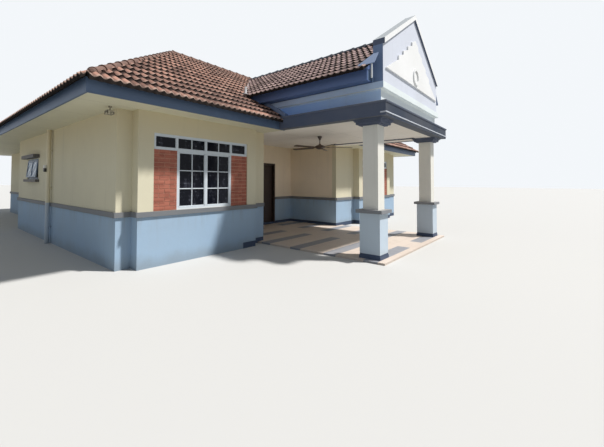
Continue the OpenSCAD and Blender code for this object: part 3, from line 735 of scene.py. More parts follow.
def tile_slope(name, foot, along, uphill, width, rise_run, pitch, cuts, hole=None, finish=tile_finish):
    """Tiles one slope. foot is the left end of its eave seen from outside, along and uphill are level unit
    vectors, and each cut is a point and a level or sloping normal that points to what is cleared."""
    along, uphill, foot = Vector(along), Vector(uphill), Vector(foot)
    up = (uphill + Vector((0, 0, pitch))).normalized()
    out = along.cross(up)
    rolls = math.ceil(width / ROLL)
    courses = math.ceil(rise_run * math.sqrt(1 + pitch * pitch) / GAUGE)
    bm = bmesh.new()
    bmesh.ops.create_grid(bm, x_segments=rolls * ROLL_STEPS, y_segments=2 * courses, size=1)
    for v in bm.verts:
        u = (v.co.x + 1) / 2 * rolls
        row = round((v.co.y + 1) * courses)
        course, end = divmod(row, 2)
        v.co = (u, course + COURSE_END * end, (1 - end) * COURSE_STEP)
        v.co.z += TILE_LIFT + ROLL_HEIGHT * (0.5 + 0.5 * math.cos(2 * math.pi * u)) ** ROLL_SHAPE
    for v in bm.verts:
        v.co = foot + along * (v.co.x * ROLL) + up * (v.co.y * GAUGE - OVERHANG) + out * v.co.z
    for point, normal in cuts:
        sliced(bm, point, normal, clear=True)
    if hole:
        cut_hole(bm, *hole)
    laid = bm.loops.layers.uv.new("laid")
    for face in bm.faces:
        for loop in face.loops:
            place = loop.vert.co - foot
            loop[laid].uv = (place.dot(along) / ROLL, (place.dot(up) + OVERHANG) / GAUGE)
    # The first ring drops by the tile's thickness and keeps the tile finish; the second drops to the boards
    # and takes the near-black painted shade.
    for hollow in (False, True):
        rim = [e for e in bm.edges if e.is_boundary]
        skirt = bmesh.ops.extrude_edge_only(bm, edges=rim)["geom"]
        for part in skirt:
            if isinstance(part, bmesh.types.BMVert) and not hollow:
                part.co.z -= TILE_THICK
            elif isinstance(part, bmesh.types.BMVert):
                part.co.z = foot.z + (part.co - foot).dot(uphill) * pitch - ON_BOARDS
            elif isinstance(part, bmesh.types.BMFace):
                part.material_index = int(hollow)
                for loop in part.loops:
                    loop[laid].uv = ((loop.vert.co - foot).dot(along) / ROLL, SKIRT_V)
    for face in bmesh.ops.edgeloop_fill(bm, edges=[e for e in bm.edges if e.is_boundary])["faces"]:
        face.material_index = 1
    bmesh.ops.recalc_face_normals(bm, faces=bm.faces)
    piece = keep(bm, name, finish, smooth=True)
    piece.data.materials.append(hollow_shade_finish)
    print(name, "courses", courses, "faces", len(piece.data.polygons))


def clear(x, y, across):
    """A cut by an upright plane through a point, clearing the side that across points to."""
    return (x, y, 0), across

# %% [markdown]
# ## Where the slopes meet
#
# The roof is one big hipped body with a valley behind the front ridge. Seen from above, hips and valleys
# run at 45 degrees from the corners, so each slope is cut by upright planes through the corners.

# %% Tile the main roof
RIDGE_LEFT, RIDGE_RIGHT = LEFT + RUN, RIGHT - RUN
RIDGE_FRONT, RIDGE_REAR = FRONT + RUN, REAR - RUN
VALLEY_FRONT = FRONT + 2 * RUN
WIDTH, DEPTH = RIGHT - LEFT, REAR - FRONT
strip_low, strip_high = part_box("flashings")
opening = (strip_low.x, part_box("porch_frieze")[1].x, WING_FRONT)

tile_slope("tiles_front", (LEFT, FRONT, EAVE_Z), E, N, WIDTH, RUN, PITCH,
           [clear(LEFT, FRONT, (-1, 1, 0)), clear(RIGHT, FRONT, (1, 1, 0)), clear(0, RIDGE_FRONT, N)],
           opening)
tile_slope("tiles_left", (LEFT, REAR, EAVE_Z), S, E, DEPTH, RUN, PITCH,
           [clear(LEFT, FRONT, (1, -1, 0)), clear(LEFT, REAR, (1, 1, 0)), clear(RIDGE_LEFT, 0, E)])
tile_slope("tiles_right", (RIGHT, FRONT, EAVE_Z), N, W, DEPTH, RUN, PITCH,
           [clear(RIGHT, FRONT, (-1, -1, 0)), clear(RIGHT, REAR, (-1, 1, 0)), clear(RIDGE_RIGHT, 0, W)])
tile_slope("tiles_rear_left", (MIDDLE, REAR, EAVE_Z), W, S, 2 * RUN, RUN, PITCH,
           [clear(LEFT, REAR, (-1, -1, 0)), clear(MIDDLE, REAR, (1, -1, 0))])
tile_slope("tiles_rear_right", (RIGHT, REAR, EAVE_Z), W, S, 2 * RUN, RUN, PITCH,
           [clear(MIDDLE, REAR, (-1, -1, 0)), clear(RIGHT, REAR, (1, -1, 0))])
tile_slope("tiles_inner_left", (MIDDLE, RIDGE_FRONT, EAVE_Z), N, W, DEPTH - RUN, RUN, PITCH,
           [clear(MIDDLE, VALLEY_FRONT, (1, -1, 0)), clear(MIDDLE, REAR, (-1, 1, 0)),
            clear(RIDGE_LEFT, 0, W)])
tile_slope("tiles_inner_right", (MIDDLE, REAR, EAVE_Z), S, E, DEPTH - RUN, RUN, PITCH,
           [clear(MIDDLE, VALLEY_FRONT, (-1, -1, 0)), clear(MIDDLE, REAR, (1, 1, 0)),
            clear(RIDGE_RIGHT, 0, E)])
tile_slope("tiles_behind_ridge", (RIDGE_RIGHT, VALLEY_FRONT, EAVE_Z), W, S, 2 * RUN, RUN, PITCH,
           [clear(MIDDLE, VALLEY_FRONT, (-1, 1, 0)), clear(MIDDLE, VALLEY_FRONT, (1, 1, 0)),
            clear(0, RIDGE_FRONT, S)])

# %% [markdown]
# The porch has a small gabled roof of its own that dies into the front slope. Its two sheets start at the
# gable, run further back than they need to, and are cut off by the plane of the front slope, raised by a
# finger's breadth.

# %% Tile the porch roof
MAIN_FRONT_PLANE = ((0, FRONT, EAVE_Z + 0.02), (0, PITCH, -1))
PORCH_DEPTH = 2 * RUN
porch_sides = (("tiles_porch_left", -1, PORCH_FRONT + PORCH_DEPTH, S, E),
               ("tiles_porch_right", 1, PORCH_FRONT, N, W))
for name, side, start, along, uphill in porch_sides:
    foot = (PORCH_X + side * PORCH_HALF, start, PORCH_EAVE_Z)
    tile_slope(name, foot, along, uphill, PORCH_DEPTH, PORCH_HALF, PORCH_PITCH,
               [clear(0, PORCH_FRONT, S), clear(PORCH_X, 0, uphill), MAIN_FRONT_PLANE],
               finish=porch_shaded_tile_finish)

# %% [markdown]
# ## Hip and ridge caps
#
# Half-round caps bedded in mortar cover every hip and ridge. Each is a short tapered barrel with a collar,
# and laps over the next one down, so a row is a loop along a line.

# %% Caps along hips and ridges
CAP_LENGTH = 0.33
CAP_RADIUS = 0.080
COLLAR = 0.050
CAP_START = 0.035
CAP_SIDES = 14


def caps(bm, start, end, lift=0.0, radius=CAP_RADIUS):
    """A row of caps from a lower to a higher end."""
    start, end = Vector(start), Vector(end)
    line = end - start
    count = max(1, round(line.length / CAP_LENGTH))
    step = line / count
    turn = line.to_track_quat("Z", "Y").to_matrix().to_4x4()
    for i in range(count):
        foot = start + step * i + Vector((0, 0, lift))
        barrel = Matrix.Translation(foot + step * 0.55) @ turn
        collar = Matrix.Translation(foot + step.normalized() * (COLLAR / 2)) @ turn
        bmesh.ops.create_cone(bm, cap_ends=True, segments=CAP_SIDES, radius1=radius, radius2=radius * 0.82,
                              depth=step.length * 1.08, matrix=barrel)
        bmesh.ops.create_cone(bm, cap_ends=True, segments=CAP_SIDES, radius1=radius * 1.09,
                              radius2=radius * 1.05, depth=COLLAR, matrix=collar)


def at(x, y, z=RIDGE_Z):
    return Vector((x, y, z))


cap_bm = bmesh.new()
corners = [(LEFT, FRONT, RIDGE_LEFT, RIDGE_FRONT), (RIGHT, FRONT, RIDGE_RIGHT, RIDGE_FRONT),
           (LEFT, REAR, RIDGE_LEFT, RIDGE_REAR), (MIDDLE, REAR, RIDGE_LEFT, RIDGE_REAR),
           (MIDDLE, REAR, RIDGE_RIGHT, RIDGE_REAR), (RIGHT, REAR, RIDGE_RIGHT, RIDGE_REAR)]
for x0, y0, x1, y1 in corners:
    foot, top = at(x0, y0, EAVE_Z), at(x1, y1)
    foot = foot.lerp(top, CAP_START)
    caps(cap_bm, foot, top, 0.015)
    bmesh.ops.create_icosphere(cap_bm, subdivisions=2, radius=CAP_RADIUS * 1.02,
                               matrix=Matrix.Translation(foot + Vector((0, 0, 0.012))))
caps(cap_bm, at(RIDGE_LEFT, RIDGE_FRONT), at(RIDGE_RIGHT, RIDGE_FRONT), 0.02)
for ridge_x in (RIDGE_LEFT, RIDGE_RIGHT):
    caps(cap_bm, at(ridge_x, RIDGE_REAR), at(ridge_x, RIDGE_FRONT), 0.02)
cap_piece = keep(cap_bm, "hip_and_ridge_caps", cap_finish)
porch_cap_bm = bmesh.new()
porch_ridge = (at(PORCH_X, PORCH_FRONT, porch_high.z), at(PORCH_X, porch_high.y, porch_high.z))
caps(porch_cap_bm, *porch_ridge, lift=0.01, radius=0.10)
keep(porch_cap_bm, "porch_ridge_caps", porch_cap_finish)
print("caps:", len(cap_piece.data.polygons))

# %% [markdown]
# ## Sheet metal on the roof
#
# Where the porch roof cuts into the main one, a metal liner runs up each valley. A pale upstand stands at
# its foot and ends in a small apron over the tiles. They are bars laid from point to point along the
# valley's own line, which one function works out from the two pitches. A narrow pale strip also stands at
# the front end of each porch eave.

# %% Metal finishes and the porch valleys
f = Finish("pale_metal")
pale_metal = f.done(f.mix(f.noise(6.0, 4.0, 0.7), (0.62, 0.66, 0.70), (0.80, 0.82, 0.83)), 0.45)
f = Finish("gutter_metal")
gutter_metal = f.done(f.mix(f.noise(3.0, 5.0, 0.7), (0.20, 0.21, 0.22), (0.34, 0.35, 0.36)), 0.5)
f = Finish("flashing_sheet")
sheet_blue = f.done(f.mix(f.noise(4.0, 4.0, 0.7), (0.190, 0.260, 0.420), (0.270, 0.350, 0.520)), 0.45)

TILE_TOP = 0.075
VALLEY_UP = 0.16
VALLEY_END = 0.97
FASCIA_BACK = 0.045
UNDER_UPSTAND = Vector((0, 0, -0.014))


def valley(side, up):
    """A point over the porch valley on a side, -1 or 1, some way up from the porch eave to the ridge."""
    z = PORCH_EAVE_Z + up * (porch_high.z - PORCH_EAVE_Z)
    return Vector((PORCH_X + side * PORCH_HALF * (1 - up), FRONT + (z - EAVE_Z) / PITCH, z + TILE_TOP))


metal_bm = bmesh.new()
liner_bm = bmesh.new()
for side in (-1, 1):
    foot, turned_up = valley(side, 0.0), valley(side, VALLEY_UP)
    bar(metal_bm, foot, turned_up, 0.040, 0.080, 0.004)
    bar(liner_bm, foot + UNDER_UPSTAND, valley(side, VALLEY_END) + UNDER_UPSTAND, 0.130, 0.012, 0.004)
    add_box(metal_bm, foot + Vector((-0.15, -0.17, -0.040)), foot + Vector((0.10, 0.05, -0.028)), 0.003)
    add_box(metal_bm, foot + Vector((-0.022, -0.030, -0.04)), foot + Vector((0.022, 0.014, 0.20)), 0.006)
    end_x = PORCH_X + side * (PORCH_HALF - FASCIA_BACK)
    add_box(metal_bm, (end_x - 0.012, GABLE_BACK - 0.115, PORCH_EAVE_Z - 0.21),
            (end_x + 0.012, GABLE_BACK - 0.090, PORCH_EAVE_Z + 0.07), 0.003)
keep(metal_bm, "valley_upstands", pale_metal)
keep(liner_bm, "valley_liners", gutter_metal)
print("valley liners up to", round(valley(1, VALLEY_END).z, 2))

# %% [markdown]
# At each porch eave a small painted sheet covers the corner where the tiles end beside the gable. It is a
# plate with a raked end, drawn by its corners. Under it a board closes the open end of the eave, from the
# fascia in to the gable.

# %% Gable flashing and eave ends
FLASH_LIFT = 0.070
FLASH_PITCH = 1.25
FLASH_IN = 0.01
FLASH_THICK = 0.012
FLASH_OUTLINE = ((0.0, -0.170), (0.0, 0.200), (0.20, -0.070), (0.20, -0.170))
flash_bm = bmesh.new()
for side in (-1, 1):
    corners = []
    for inward, back in FLASH_OUTLINE:
        z = PORCH_EAVE_Z + inward * FLASH_PITCH + FLASH_LIFT
        corners.append((PORCH_X + side * (PORCH_HALF - FLASH_IN - inward), GABLE_BACK + back, z))
    plate(flash_bm, corners, Vector((0, 0, -FLASH_THICK)))
bmesh.ops.recalc_face_normals(flash_bm, faces=flash_bm.faces)
keep(flash_bm, "gable_flashing", sheet_blue)

eave_low, eave_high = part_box("porch_fascia")
END_GAP = 0.004
END_Y = GABLE_BACK + 0.030
END_THICK = 0.018
end_bm = bmesh.new()
for side in (-1, 1):
    edges = []
    for half in ((eave_high.x - eave_low.x) / 2 - END_GAP, (gable_high.x - gable_low.x) / 2):
        x = PORCH_X + side * half
        top = PORCH_EAVE_Z + (PORCH_HALF - half) * PORCH_PITCH
        edges.append([(x, END_Y, eave_low.z + END_GAP), (x, END_Y, top)])
    (outer_foot, outer_top), (inner_foot, inner_top) = edges
    plate(end_bm, (outer_foot, inner_foot, inner_top, outer_top), Vector((0, -END_THICK, 0)))
bmesh.ops.recalc_face_normals(end_bm, faces=end_bm.faces)
keep(end_bm, "eave_end_boards", fascia_finish)
print("eave ends closed, foot at", round(eave_low.z, 3))

# %% [markdown]
# A sloping board stands on each side of the porch, where the tiles of the main roof stop. One sheet lies
# over both boards at the pitch of the main roof, and runs from one to the other through the hollow of the
# porch roof. At the rear a shallow trough takes the rain of the two inner slopes, along the line of the
# valley.

# %% Wall flashing and rear gutter
STRIP_LIFT = 0.105
STRIP_TALL = 0.140
strip_x = (strip_low.x + strip_high.x) / 2
strip_bm = bmesh.new()
strip_rise = (strip_high.y - strip_low.y) * PITCH
strip_z = strip_low.z + STRIP_LIFT
bar(strip_bm, (strip_x, strip_low.y, strip_z), (strip_x, strip_high.y, strip_z + strip_rise),
    strip_high.x - strip_low.x, STRIP_TALL, 0.006)
keep(strip_bm, "wall_flashing", sheet_blue)

GUTTER_W = 0.28
GUTTER_H = 0.05
gutter_bm = bmesh.new()
gutter_from = Vector((MIDDLE, VALLEY_FRONT, EAVE_Z + 0.06))
gutter_to = Vector((MIDDLE, REAR, EAVE_Z + 0.03))
for side in (-1, 1):
    shift = Vector((side * GUTTER_W / 2, 0, 0.01))
    bar(gutter_bm, gutter_from + shift, gutter_to + shift, 0.012, GUTTER_H, 0.002)
bar(gutter_bm, gutter_from, gutter_to, GUTTER_W, 0.010, 0.002)
keep(gutter_bm, "rear_gutter", gutter_metal)
print("rear gutter", round((gutter_to - gutter_from).length, 2), "long")

# %% [markdown]
# ## Mouldings of the porch
#
# A profile is carried round three sides of the porch, mitred at the front corners: a rounded lip on top of
# the beam, a pale bead near its foot, and a hollow moulding under the cornice.

# %% Carried mouldings
INTO_WALL = -0.01
LIP_H, LIP_OUT, LIP_UP = 0.036, 0.020, 0.006
lip = ((INTO_WALL, -LIP_H), (0.0, -LIP_H), (LIP_OUT * 0.7, -LIP_H * 0.8), (LIP_OUT, -LIP_H * 0.4),
       (LIP_OUT, 0.0), (LIP_OUT * 0.6, LIP_UP), (INTO_WALL, LIP_UP))
lip_bm = bmesh.new()
carried_round(lip_bm, beam_low, beam_high, FRONT, [(out, beam_high.z + z) for out, z in lip])
keep(lip_bm, "beam_lip", slate_finish)

MOULD_FOOT = 2.848
BEAD_BACK = 0.10
bead = ((INTO_WALL, 0.0), (0.006, 0.0), (0.012, 0.008), (0.012, 0.018), (0.006, 0.026), (INTO_WALL, 0.026))
bead_bm = bmesh.new()
bead_end = beam_low.y + BEAD_BACK
carried_round(bead_bm, beam_low, beam_high, bead_end, [(out, MOULD_FOOT + z) for out, z in bead])
keep(bead_bm, "beam_bead", line_finish)

COVE_BACK = 0.045
frieze_wall_low = Vector((gable_low.x, GABLE_FRONT + COVE_BACK, 0))
frieze_wall_high = Vector((gable_high.x, 0, 0))
COVE = 0.030
COVE_END = FRONT + 0.4
cove = ((INTO_WALL, -COVE), (0.003, -COVE), (0.008, -COVE * 0.5), (0.018, -COVE * 0.15), (COVE, 0.0),
        (INTO_WALL, 0.0))
cove_bm = bmesh.new()
carried_round(cove_bm, frieze_wall_low, frieze_wall_high, COVE_END,
              [(out, CORNICE_FOOT + z) for out, z in cove])
keep(cove_bm, "cornice_cove", pale_finish)
print("mouldings carried round")

# %% [markdown]
# ## Brick panels
#
# Beside the sashes the openings are filled with fair-faced brick. The solid behind is the mortar, and each
# brick is a bevelled block that stands a little proud of it, in half bond.

# %% Brick finishes and bricks
f = Finish("mortar")
mortar_finish = f.done(f.mix(f.noise(30.0), (0.52, 0.27, 0.20), (0.64, 0.38, 0.28)), 0.9)
dress(mortar_finish, "brick_panels")

f = Finish("fair_brick")
cell = f.node("ShaderNodeVectorMath", {"operation": "FLOOR"}, f.stretched(9.0, 1.0, 12.5))
own = f.node("ShaderNodeTexWhiteNoise", {"noise_dimensions": "3D"}, Vector=cell)
brick_colour = f.mix(own, (0.30, 0.095, 0.062), (0.43, 0.150, 0.100))
brick_colour = f.mix(f.noise(45.0, 4.0).step(0.5, 0.8) * 0.4, brick_colour, (0.22, 0.07, 0.05))
f.bump(f.noise(70.0, 4.0), 0.003, 0.6)
brick_finish = f.done(brick_colour, 0.85)

COURSE = 0.080
JOINT = 0.010
BRICK = 0.225
BRICK_PROUD = 0.007
BRICK_DEEP = 0.02
LEAST_BRICK = 0.03
PANEL_GAP = 0.004
brick_bm = bmesh.new()
panels_low, panels_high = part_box("brick_panels")
frames_low, frames_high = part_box("front_frames")
WINDOW_W = 2.390
PANEL_W = 0.495
window_x = (frames_low.x, frames_high.x - WINDOW_W)


def brick_row(x0, x1, z0, z1, shift):
    """Bricks between two ends, the cut ones where the row ends."""
    x = x0 - shift
    while x < x1:
        a, b = max(x, x0), min(x + BRICK - JOINT, x1)
        if b - a > LEAST_BRICK:
            add_box(brick_bm, (a, panels_low.y - BRICK_PROUD, z0), (b, panels_low.y + BRICK_DEEP, z1), 0.002)
        x += BRICK


rows = round((panels_high.z - panels_low.z) / COURSE)
height = (panels_high.z - panels_low.z) / rows
for wx in window_x:
    for px in (wx, wx + WINDOW_W - PANEL_W):
        for i in range(rows):
            z = panels_low.z + i * height
            brick_row(px + PANEL_GAP, px + PANEL_W - PANEL_GAP, z + JOINT / 2, z + height - JOINT / 2,
                      (i % 2) * BRICK / 2)
keep(brick_bm, "bricks", brick_finish)
print("brick rows in each panel:", rows)

# %% [markdown]
# ## Window bars
#
# Each front window has a pair of sashes, with two columns and three rows of panes in each, under four top
# lights, of which the middle two are split. Thin bars with a bevel catch a line of light along their edge.

# %% Frame finish and bars
f = Finish("window_white")
frame_colour = f.mix(f.noise(8.0, 4.0).step(0.5, 0.85) * 0.3, (0.62, 0.68, 0.74), (0.42, 0.45, 0.47))
frame_finish = f.done(frame_colour, 0.45)
dress(frame_finish, "front_frames")
f = Finish("small_window_blue")
small_colour = f.mix(f.noise(8.0, 4.0), (0.085, 0.130, 0.200), (0.160, 0.220, 0.300))
dress(f.done(small_colour, 0.45), "small_windows")

BAR = 0.045
SASH = 0.020
BEAD = 0.008
THIN = 0.019
frame_front = frames_low.y
TRANSOM_Z = panels_high.z
HEAD_Z = frames_high.z
SILL_Z = frames_low.z
SASH_FRONT, SASH_BACK = frame_front + 0.012, frame_front + 0.040
SASH_PROUD = 0.008
TOP_FRONT, TOP_BACK = frame_front + 0.006, frame_front + 0.036
TOP_SET_BACK = 0.004
EDGE = 0.003
bar_bm = bmesh.new()


def rim(x0, x1, z0, z1, wide, y0, y1, bevel):
    """Four bars round the inside of an opening."""
    spans = ((x0, x1, z0, z0 + wide), (x0, x1, z1 - wide, z1),
             (x0, x0 + wide, z0, z1), (x1 - wide, x1, z0, z1))
    for a, b, low, high in spans:
        add_box(bar_bm, (a, y0, low), (b, y1, high), bevel)


def upright(x, y0, y1, z0, z1):
    """A thin upright bar centred on a place along x."""
    add_box(bar_bm, (x - THIN / 2, y0, z0), (x + THIN / 2, y1, z1), EDGE)


for wx in window_x:
    left, right = wx + PANEL_W, wx + WINDOW_W - PANEL_W
    middle = (left + right) / 2
    z0, z1 = SILL_Z + BAR, TRANSOM_Z - BAR / 2
    for a, b in ((left + BAR, middle - BAR / 2), (middle + BAR / 2, right - BAR)):
        rim(a, b, z0, z1, SASH, SASH_FRONT - SASH_PROUD, SASH_BACK, EDGE)
        upright((a + b) / 2, SASH_FRONT, SASH_BACK, z0, z1)
        for third in (1, 2):
            z = z0 + (z1 - z0) * third / 3
            add_box(bar_bm, (a, SASH_FRONT, z - THIN / 2), (b, SASH_BACK, z + THIN / 2), EDGE)
    z0, z1 = TRANSOM_Z + BAR, HEAD_Z - BAR
    top_lights = ((wx + BAR, left - BAR / 2, False), (left + BAR / 2, middle - BAR / 2, True),
                  (middle + BAR / 2, right - BAR / 2, True), (right + BAR / 2, wx + WINDOW_W - BAR, False))
    for a, b, split in top_lights:
        rim(a, b, z0, z1, BEAD, TOP_FRONT, TOP_BACK, 0.002)
        if split:
            upright((a + b) / 2, TOP_FRONT + TOP_SET_BACK, TOP_BACK, z0, z1)
window_bars = keep(bar_bm, "window_bars", frame_finish)
print("window bars, faces:", len(window_bars.data.polygons))

# %% [markdown]
# ## Glass
#
# By day a room behind glass is nearly black, with a dim picture of what stands outside. The front panes are
# a dark gloss with a painted reflection of that picture: faint cloudy patches, with fine level lines in
# them. The small panes are a painted reflection of the sky: a dim blue, and those in the left wall carry
# pale slanting streaks.

# %% Glass finishes
f = Finish("dark_glass")
# Painted reflection: cloudy patches of a dim picture of the outside, with fine level lines showing only
# inside them.
painted_reflection = f.noise(1.0, 5.0, 0.7, f.stretched(9.0, 1.0, 5.0)).step(0.50, 0.72)
grille = ((f.z + f.noise(2.0) * 0.05) * 75.0).math("SINE").step(0.75, 0.98)
glass_colour = f.mix(painted_reflection * 0.55, (0.004, 0.005, 0.010), (0.075, 0.080, 0.110))
glass_colour = f.mix(grille * painted_reflection * 0.6, glass_colour, (0.20, 0.22, 0.26))
dark_glass = f.done(glass_colour, 0.14, Specular_IOR_Level=0.12)
dress(dark_glass, "front_glass")

f = Finish("painted_sky_glass")
# Painted reflection of the sky: a dim blue, and pale slanting streaks on the panes of the left wall.
slant = (f.y * 3.0 + f.z * 4.0) * 6.0
streak = slant.math("SINE").step(0.60, 0.85) * f.x.step(-6.0, -6.3)
painted_sky_colour = f.mix(f.noise(3.0, 3.0) * 0.6, (0.045, 0.120, 0.240), (0.020, 0.040, 0.070))
painted_sky_glass = f.done(f.mix(streak * 0.85, painted_sky_colour, (0.52, 0.66, 0.80)), 0.20, Specular_IOR_Level=0.15)
dress(painted_sky_glass, "small_glass")
print("glass put in:", dark_glass.name, painted_sky_glass.name)

# %% [markdown]
# ## Door, fan and fittings
#
# The door is a dark wooden leaf with six raised panels on each face. Each panel is two thin boxes, one on
# the other, and all of them ride on the door, so they swing with it.

# %% Door
f = Finish("dark_door")
door_grain = f.noise(1.0, 5.0, 0.65, f.stretched(30.0, 30.0, 1.6))
f.bump(door_grain, 0.002, 0.4)
door_finish = f.done(f.mix(door_grain, (0.018, 0.012, 0.010), (0.055, 0.032, 0.024)), 0.42)
dress(door_finish, "door_leaf", "door_frame")

leaf_low, leaf_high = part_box("door_leaf")
LEAF_Y = (leaf_low.y + leaf_high.y) / 2
LEAF_T = 0.040
DOOR_PANEL_W = 0.33
PANEL_COLUMNS = (leaf_low.x + 0.115, leaf_low.x + 0.490)
PANEL_ROWS = ((0.25, 0.93), (1.22, 1.62), (1.72, 2.03))
PANEL_STEPS = ((0.0, 0.006), (0.045, 0.012))
INTO_LEAF = 0.004
panel_bm = bmesh.new()
for side in (-1, 1):
    face = LEAF_Y + side * LEAF_T / 2
    for x in PANEL_COLUMNS:
        for z0, z1 in PANEL_ROWS:
            for inset, proud in PANEL_STEPS:
                y0, y1 = sorted((face - side * INTO_LEAF, face + side * proud))
                add_box(panel_bm, (x + inset, y0, z0 + inset),
                        (x + DOOR_PANEL_W - inset, y1, z1 - inset), EDGE)
keep(panel_bm, "door_panels", door_finish, "door")
print("door panelled on both faces")

# %% [markdown]
# The fan hangs from a bell-shaped canopy. Its motor is a turned body too, and each blade is a thin plate
# with a rounded tip, set at ten degrees and held by an iron.

# %% Ceiling fan
f = Finish("fan_bronze")
fan_finish = f.done(f.mix(f.noise(9.0, 3.0), (0.045, 0.028, 0.018), (0.085, 0.055, 0.036)), 0.38)

mount_low, mount_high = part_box("fan_mount")
rotor_low, rotor_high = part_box("fan_rotor")
FAN_X, FAN_Y = (mount_low.x + mount_high.x) / 2, (mount_low.y + mount_high.y) / 2
BLADES = 5
BLADE_FIRST, BLADE_TILT = math.radians(20), math.radians(10)
BLADE_DROP = 0.052
BLADE_THICK = 0.008
CANOPY = ((0.0, 0.0), (0.066, 0.0), (0.066, -0.010), (0.055, -0.036), (0.036, -0.070), (0.026, -0.096),
          (0.022, -0.106), (0.013, -0.110), (0.013, -0.205), (0.030, -0.214), (0.035, -0.236), (0.0, -0.236))
MOTOR = ((0.0, 0.0), (0.055, -0.002), (0.100, -0.018), (0.134, -0.040), (0.140, -0.052), (0.140, -0.072),
         (0.128, -0.086), (0.100, -0.094), (0.092, -0.110), (0.050, -0.126), (0.0, -0.130))
BLADE = ((0.20, 0.036), (0.26, 0.060), (0.86, 0.070), (0.888, 0.050), (0.90, 0.0))
outline = BLADE + tuple((r, -w) for r, w in BLADE[-2::-1])

canopy_bm = bmesh.new()
turned(canopy_bm, CANOPY, Vector((FAN_X, FAN_Y, mount_high.z)))
canopy = keep(canopy_bm, "fan_canopy", fan_finish, smooth=True)
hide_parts("fan_mount")

rotor_bm = bmesh.new()
turned(rotor_bm, MOTOR, Vector((FAN_X, FAN_Y, rotor_high.z)))
hub = Matrix.Translation((FAN_X, FAN_Y, rotor_low.z + BLADE_DROP))
iron = Matrix.Translation((0.175, 0, 0.008)) @ Matrix.Diagonal((0.17, 0.034, 0.012, 1))
for i in range(BLADES):
    round_hub = Matrix.Rotation(BLADE_FIRST + i * 2 * math.pi / BLADES, 4, "Z")
    turn = hub @ (round_hub @ Matrix.Rotation(BLADE_TILT, 4, "X"))
    corners = [turn @ Vector((r, w, BLADE_THICK / 2)) for r, w in outline]
    plate(rotor_bm, corners, turn.to_3x3() @ Vector((0, 0, -BLADE_THICK)))
    placed_box(rotor_bm, turn @ iron, 0.002)
bmesh.ops.recalc_face_normals(rotor_bm, faces=rotor_bm.faces)
rotor = keep(rotor_bm, "fan_motor_and_blades", fan_finish, "fan", smooth=True)
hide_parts("fan_rotor")
print("fan blades:", BLADES)

# %% [markdown]
# Each downpipe gets a collar and a bracket at three heights. The collars are small profiles spun round the
# pipe. Small parts like these tell the eye how big the house is.

# %% Pipes and fittings
CLIP_TOP = 1.850
f, pipe_colour = two_tone("pipe_paint", (0.76, 0.70, 0.52), (0.48, 0.57, 0.67), BAND_TOP)
pipe_finish = f.done(pipe_colour, 0.5)
f = Finish("fitting_white")
fitting_colour = f.mix(f.noise(12.0), (0.66, 0.66, 0.64), (0.78, 0.78, 0.76))
below_clip = f.z.step(CLIP_TOP + 0.002, CLIP_TOP - 0.002)
fitting_colour = f.mix(below_clip, fitting_colour, (0.020, 0.020, 0.022))
# The lamp's dark metal carries random pale patches: painted highlights.
lamp_metal_and_glints = f.mix(f.noise(30.0).step(0.40, 0.60), (0.080, 0.070, 0.050), (0.480, 0.440, 0.340))
fitting_colour = f.mix(f.z.step(2.5, 2.6), fitting_colour, lamp_metal_and_glints)
fitting_finish = f.done(fitting_colour, 0.5)
dress(pipe_finish, "downpipes")
dress(fitting_finish, "fittings")

COLLAR_RING = ((0.047, -0.016), (0.056, -0.016), (0.059, -0.008), (0.059, 0.008), (0.056, 0.016),
               (0.047, 0.016), (0.047, -0.016))
COLLAR_HEIGHTS = (0.42, 1.36, 2.30)
BRACKET_FROM, BRACKET_TO = 0.046, 0.080
HALF_BRACKET = Vector((0, 0.020, 0.014))
collar_bm = bmesh.new()
for low, high in solids_of("downpipes"):
    middle = (low + high) / 2
    wall_side = math.copysign(1, -middle.x)
    for z in COLLAR_HEIGHTS:
        turned(collar_bm, COLLAR_RING, Vector((middle.x, middle.y, z)), 20)
        x0, x1 = sorted((middle.x + wall_side * BRACKET_FROM, middle.x + wall_side * BRACKET_TO))
        add_box(collar_bm, Vector((x0, middle.y, z)) - HALF_BRACKET,
                Vector((x1, middle.y, z)) + HALF_BRACKET, 0.002)
keep(collar_bm, "pipe_collars", pipe_finish, smooth=True)
print("collars at", COLLAR_HEIGHTS)

# %% [markdown]
# The box on the left pipe has a lid that stands proud of it, and the lamp under the eaves is ribbed. Both
# are thin boxes set from the solids' own corners, found by which of the two hangs lower.

# %% Box lid and lamp fins
clip_low, clip_high = min(solids_of("fittings"), key=lambda box: box[0].z)
lid_bm = bmesh.new()
lid_inset = Vector((0, 0.006, 0.006))
lid_proud = Vector((0.004, 0, 0))
lid_corner = Vector((clip_low.x + 0.002, clip_high.y, clip_high.z))
add_box(lid_bm, clip_low + lid_inset - lid_proud, lid_corner - lid_inset, 0.0015)
lamp_low, lamp_high = max(solids_of("fittings"), key=lambda box: box[0].z)
FINS = 6
FIN_FIRST, FIN_PITCH, FIN_THICK = 0.012, 0.018, 0.004
FIN_INSET = 0.010
fin_low, fin_high = lamp_low.z + 0.058, lamp_low.z + 0.072
for i in range(FINS):
    y = lamp_low.y + FIN_FIRST + i * FIN_PITCH
    add_box(lid_bm, (lamp_low.x + FIN_INSET, y, fin_low),
            (lamp_high.x - FIN_INSET, y + FIN_THICK, fin_high), 0.001)
keep(lid_bm, "box_lid_and_fins", fitting_finish)
print("lamp fins:", FINS)

# %% [markdown]
# ## Floor, light and camera
#
# The sun stands high to the right of the front, so the porch columns are bright on their front faces and
# shaded on their left. The floor is a plain sheet that keeps the shadow. It looks pale and throws back only
# a little light.

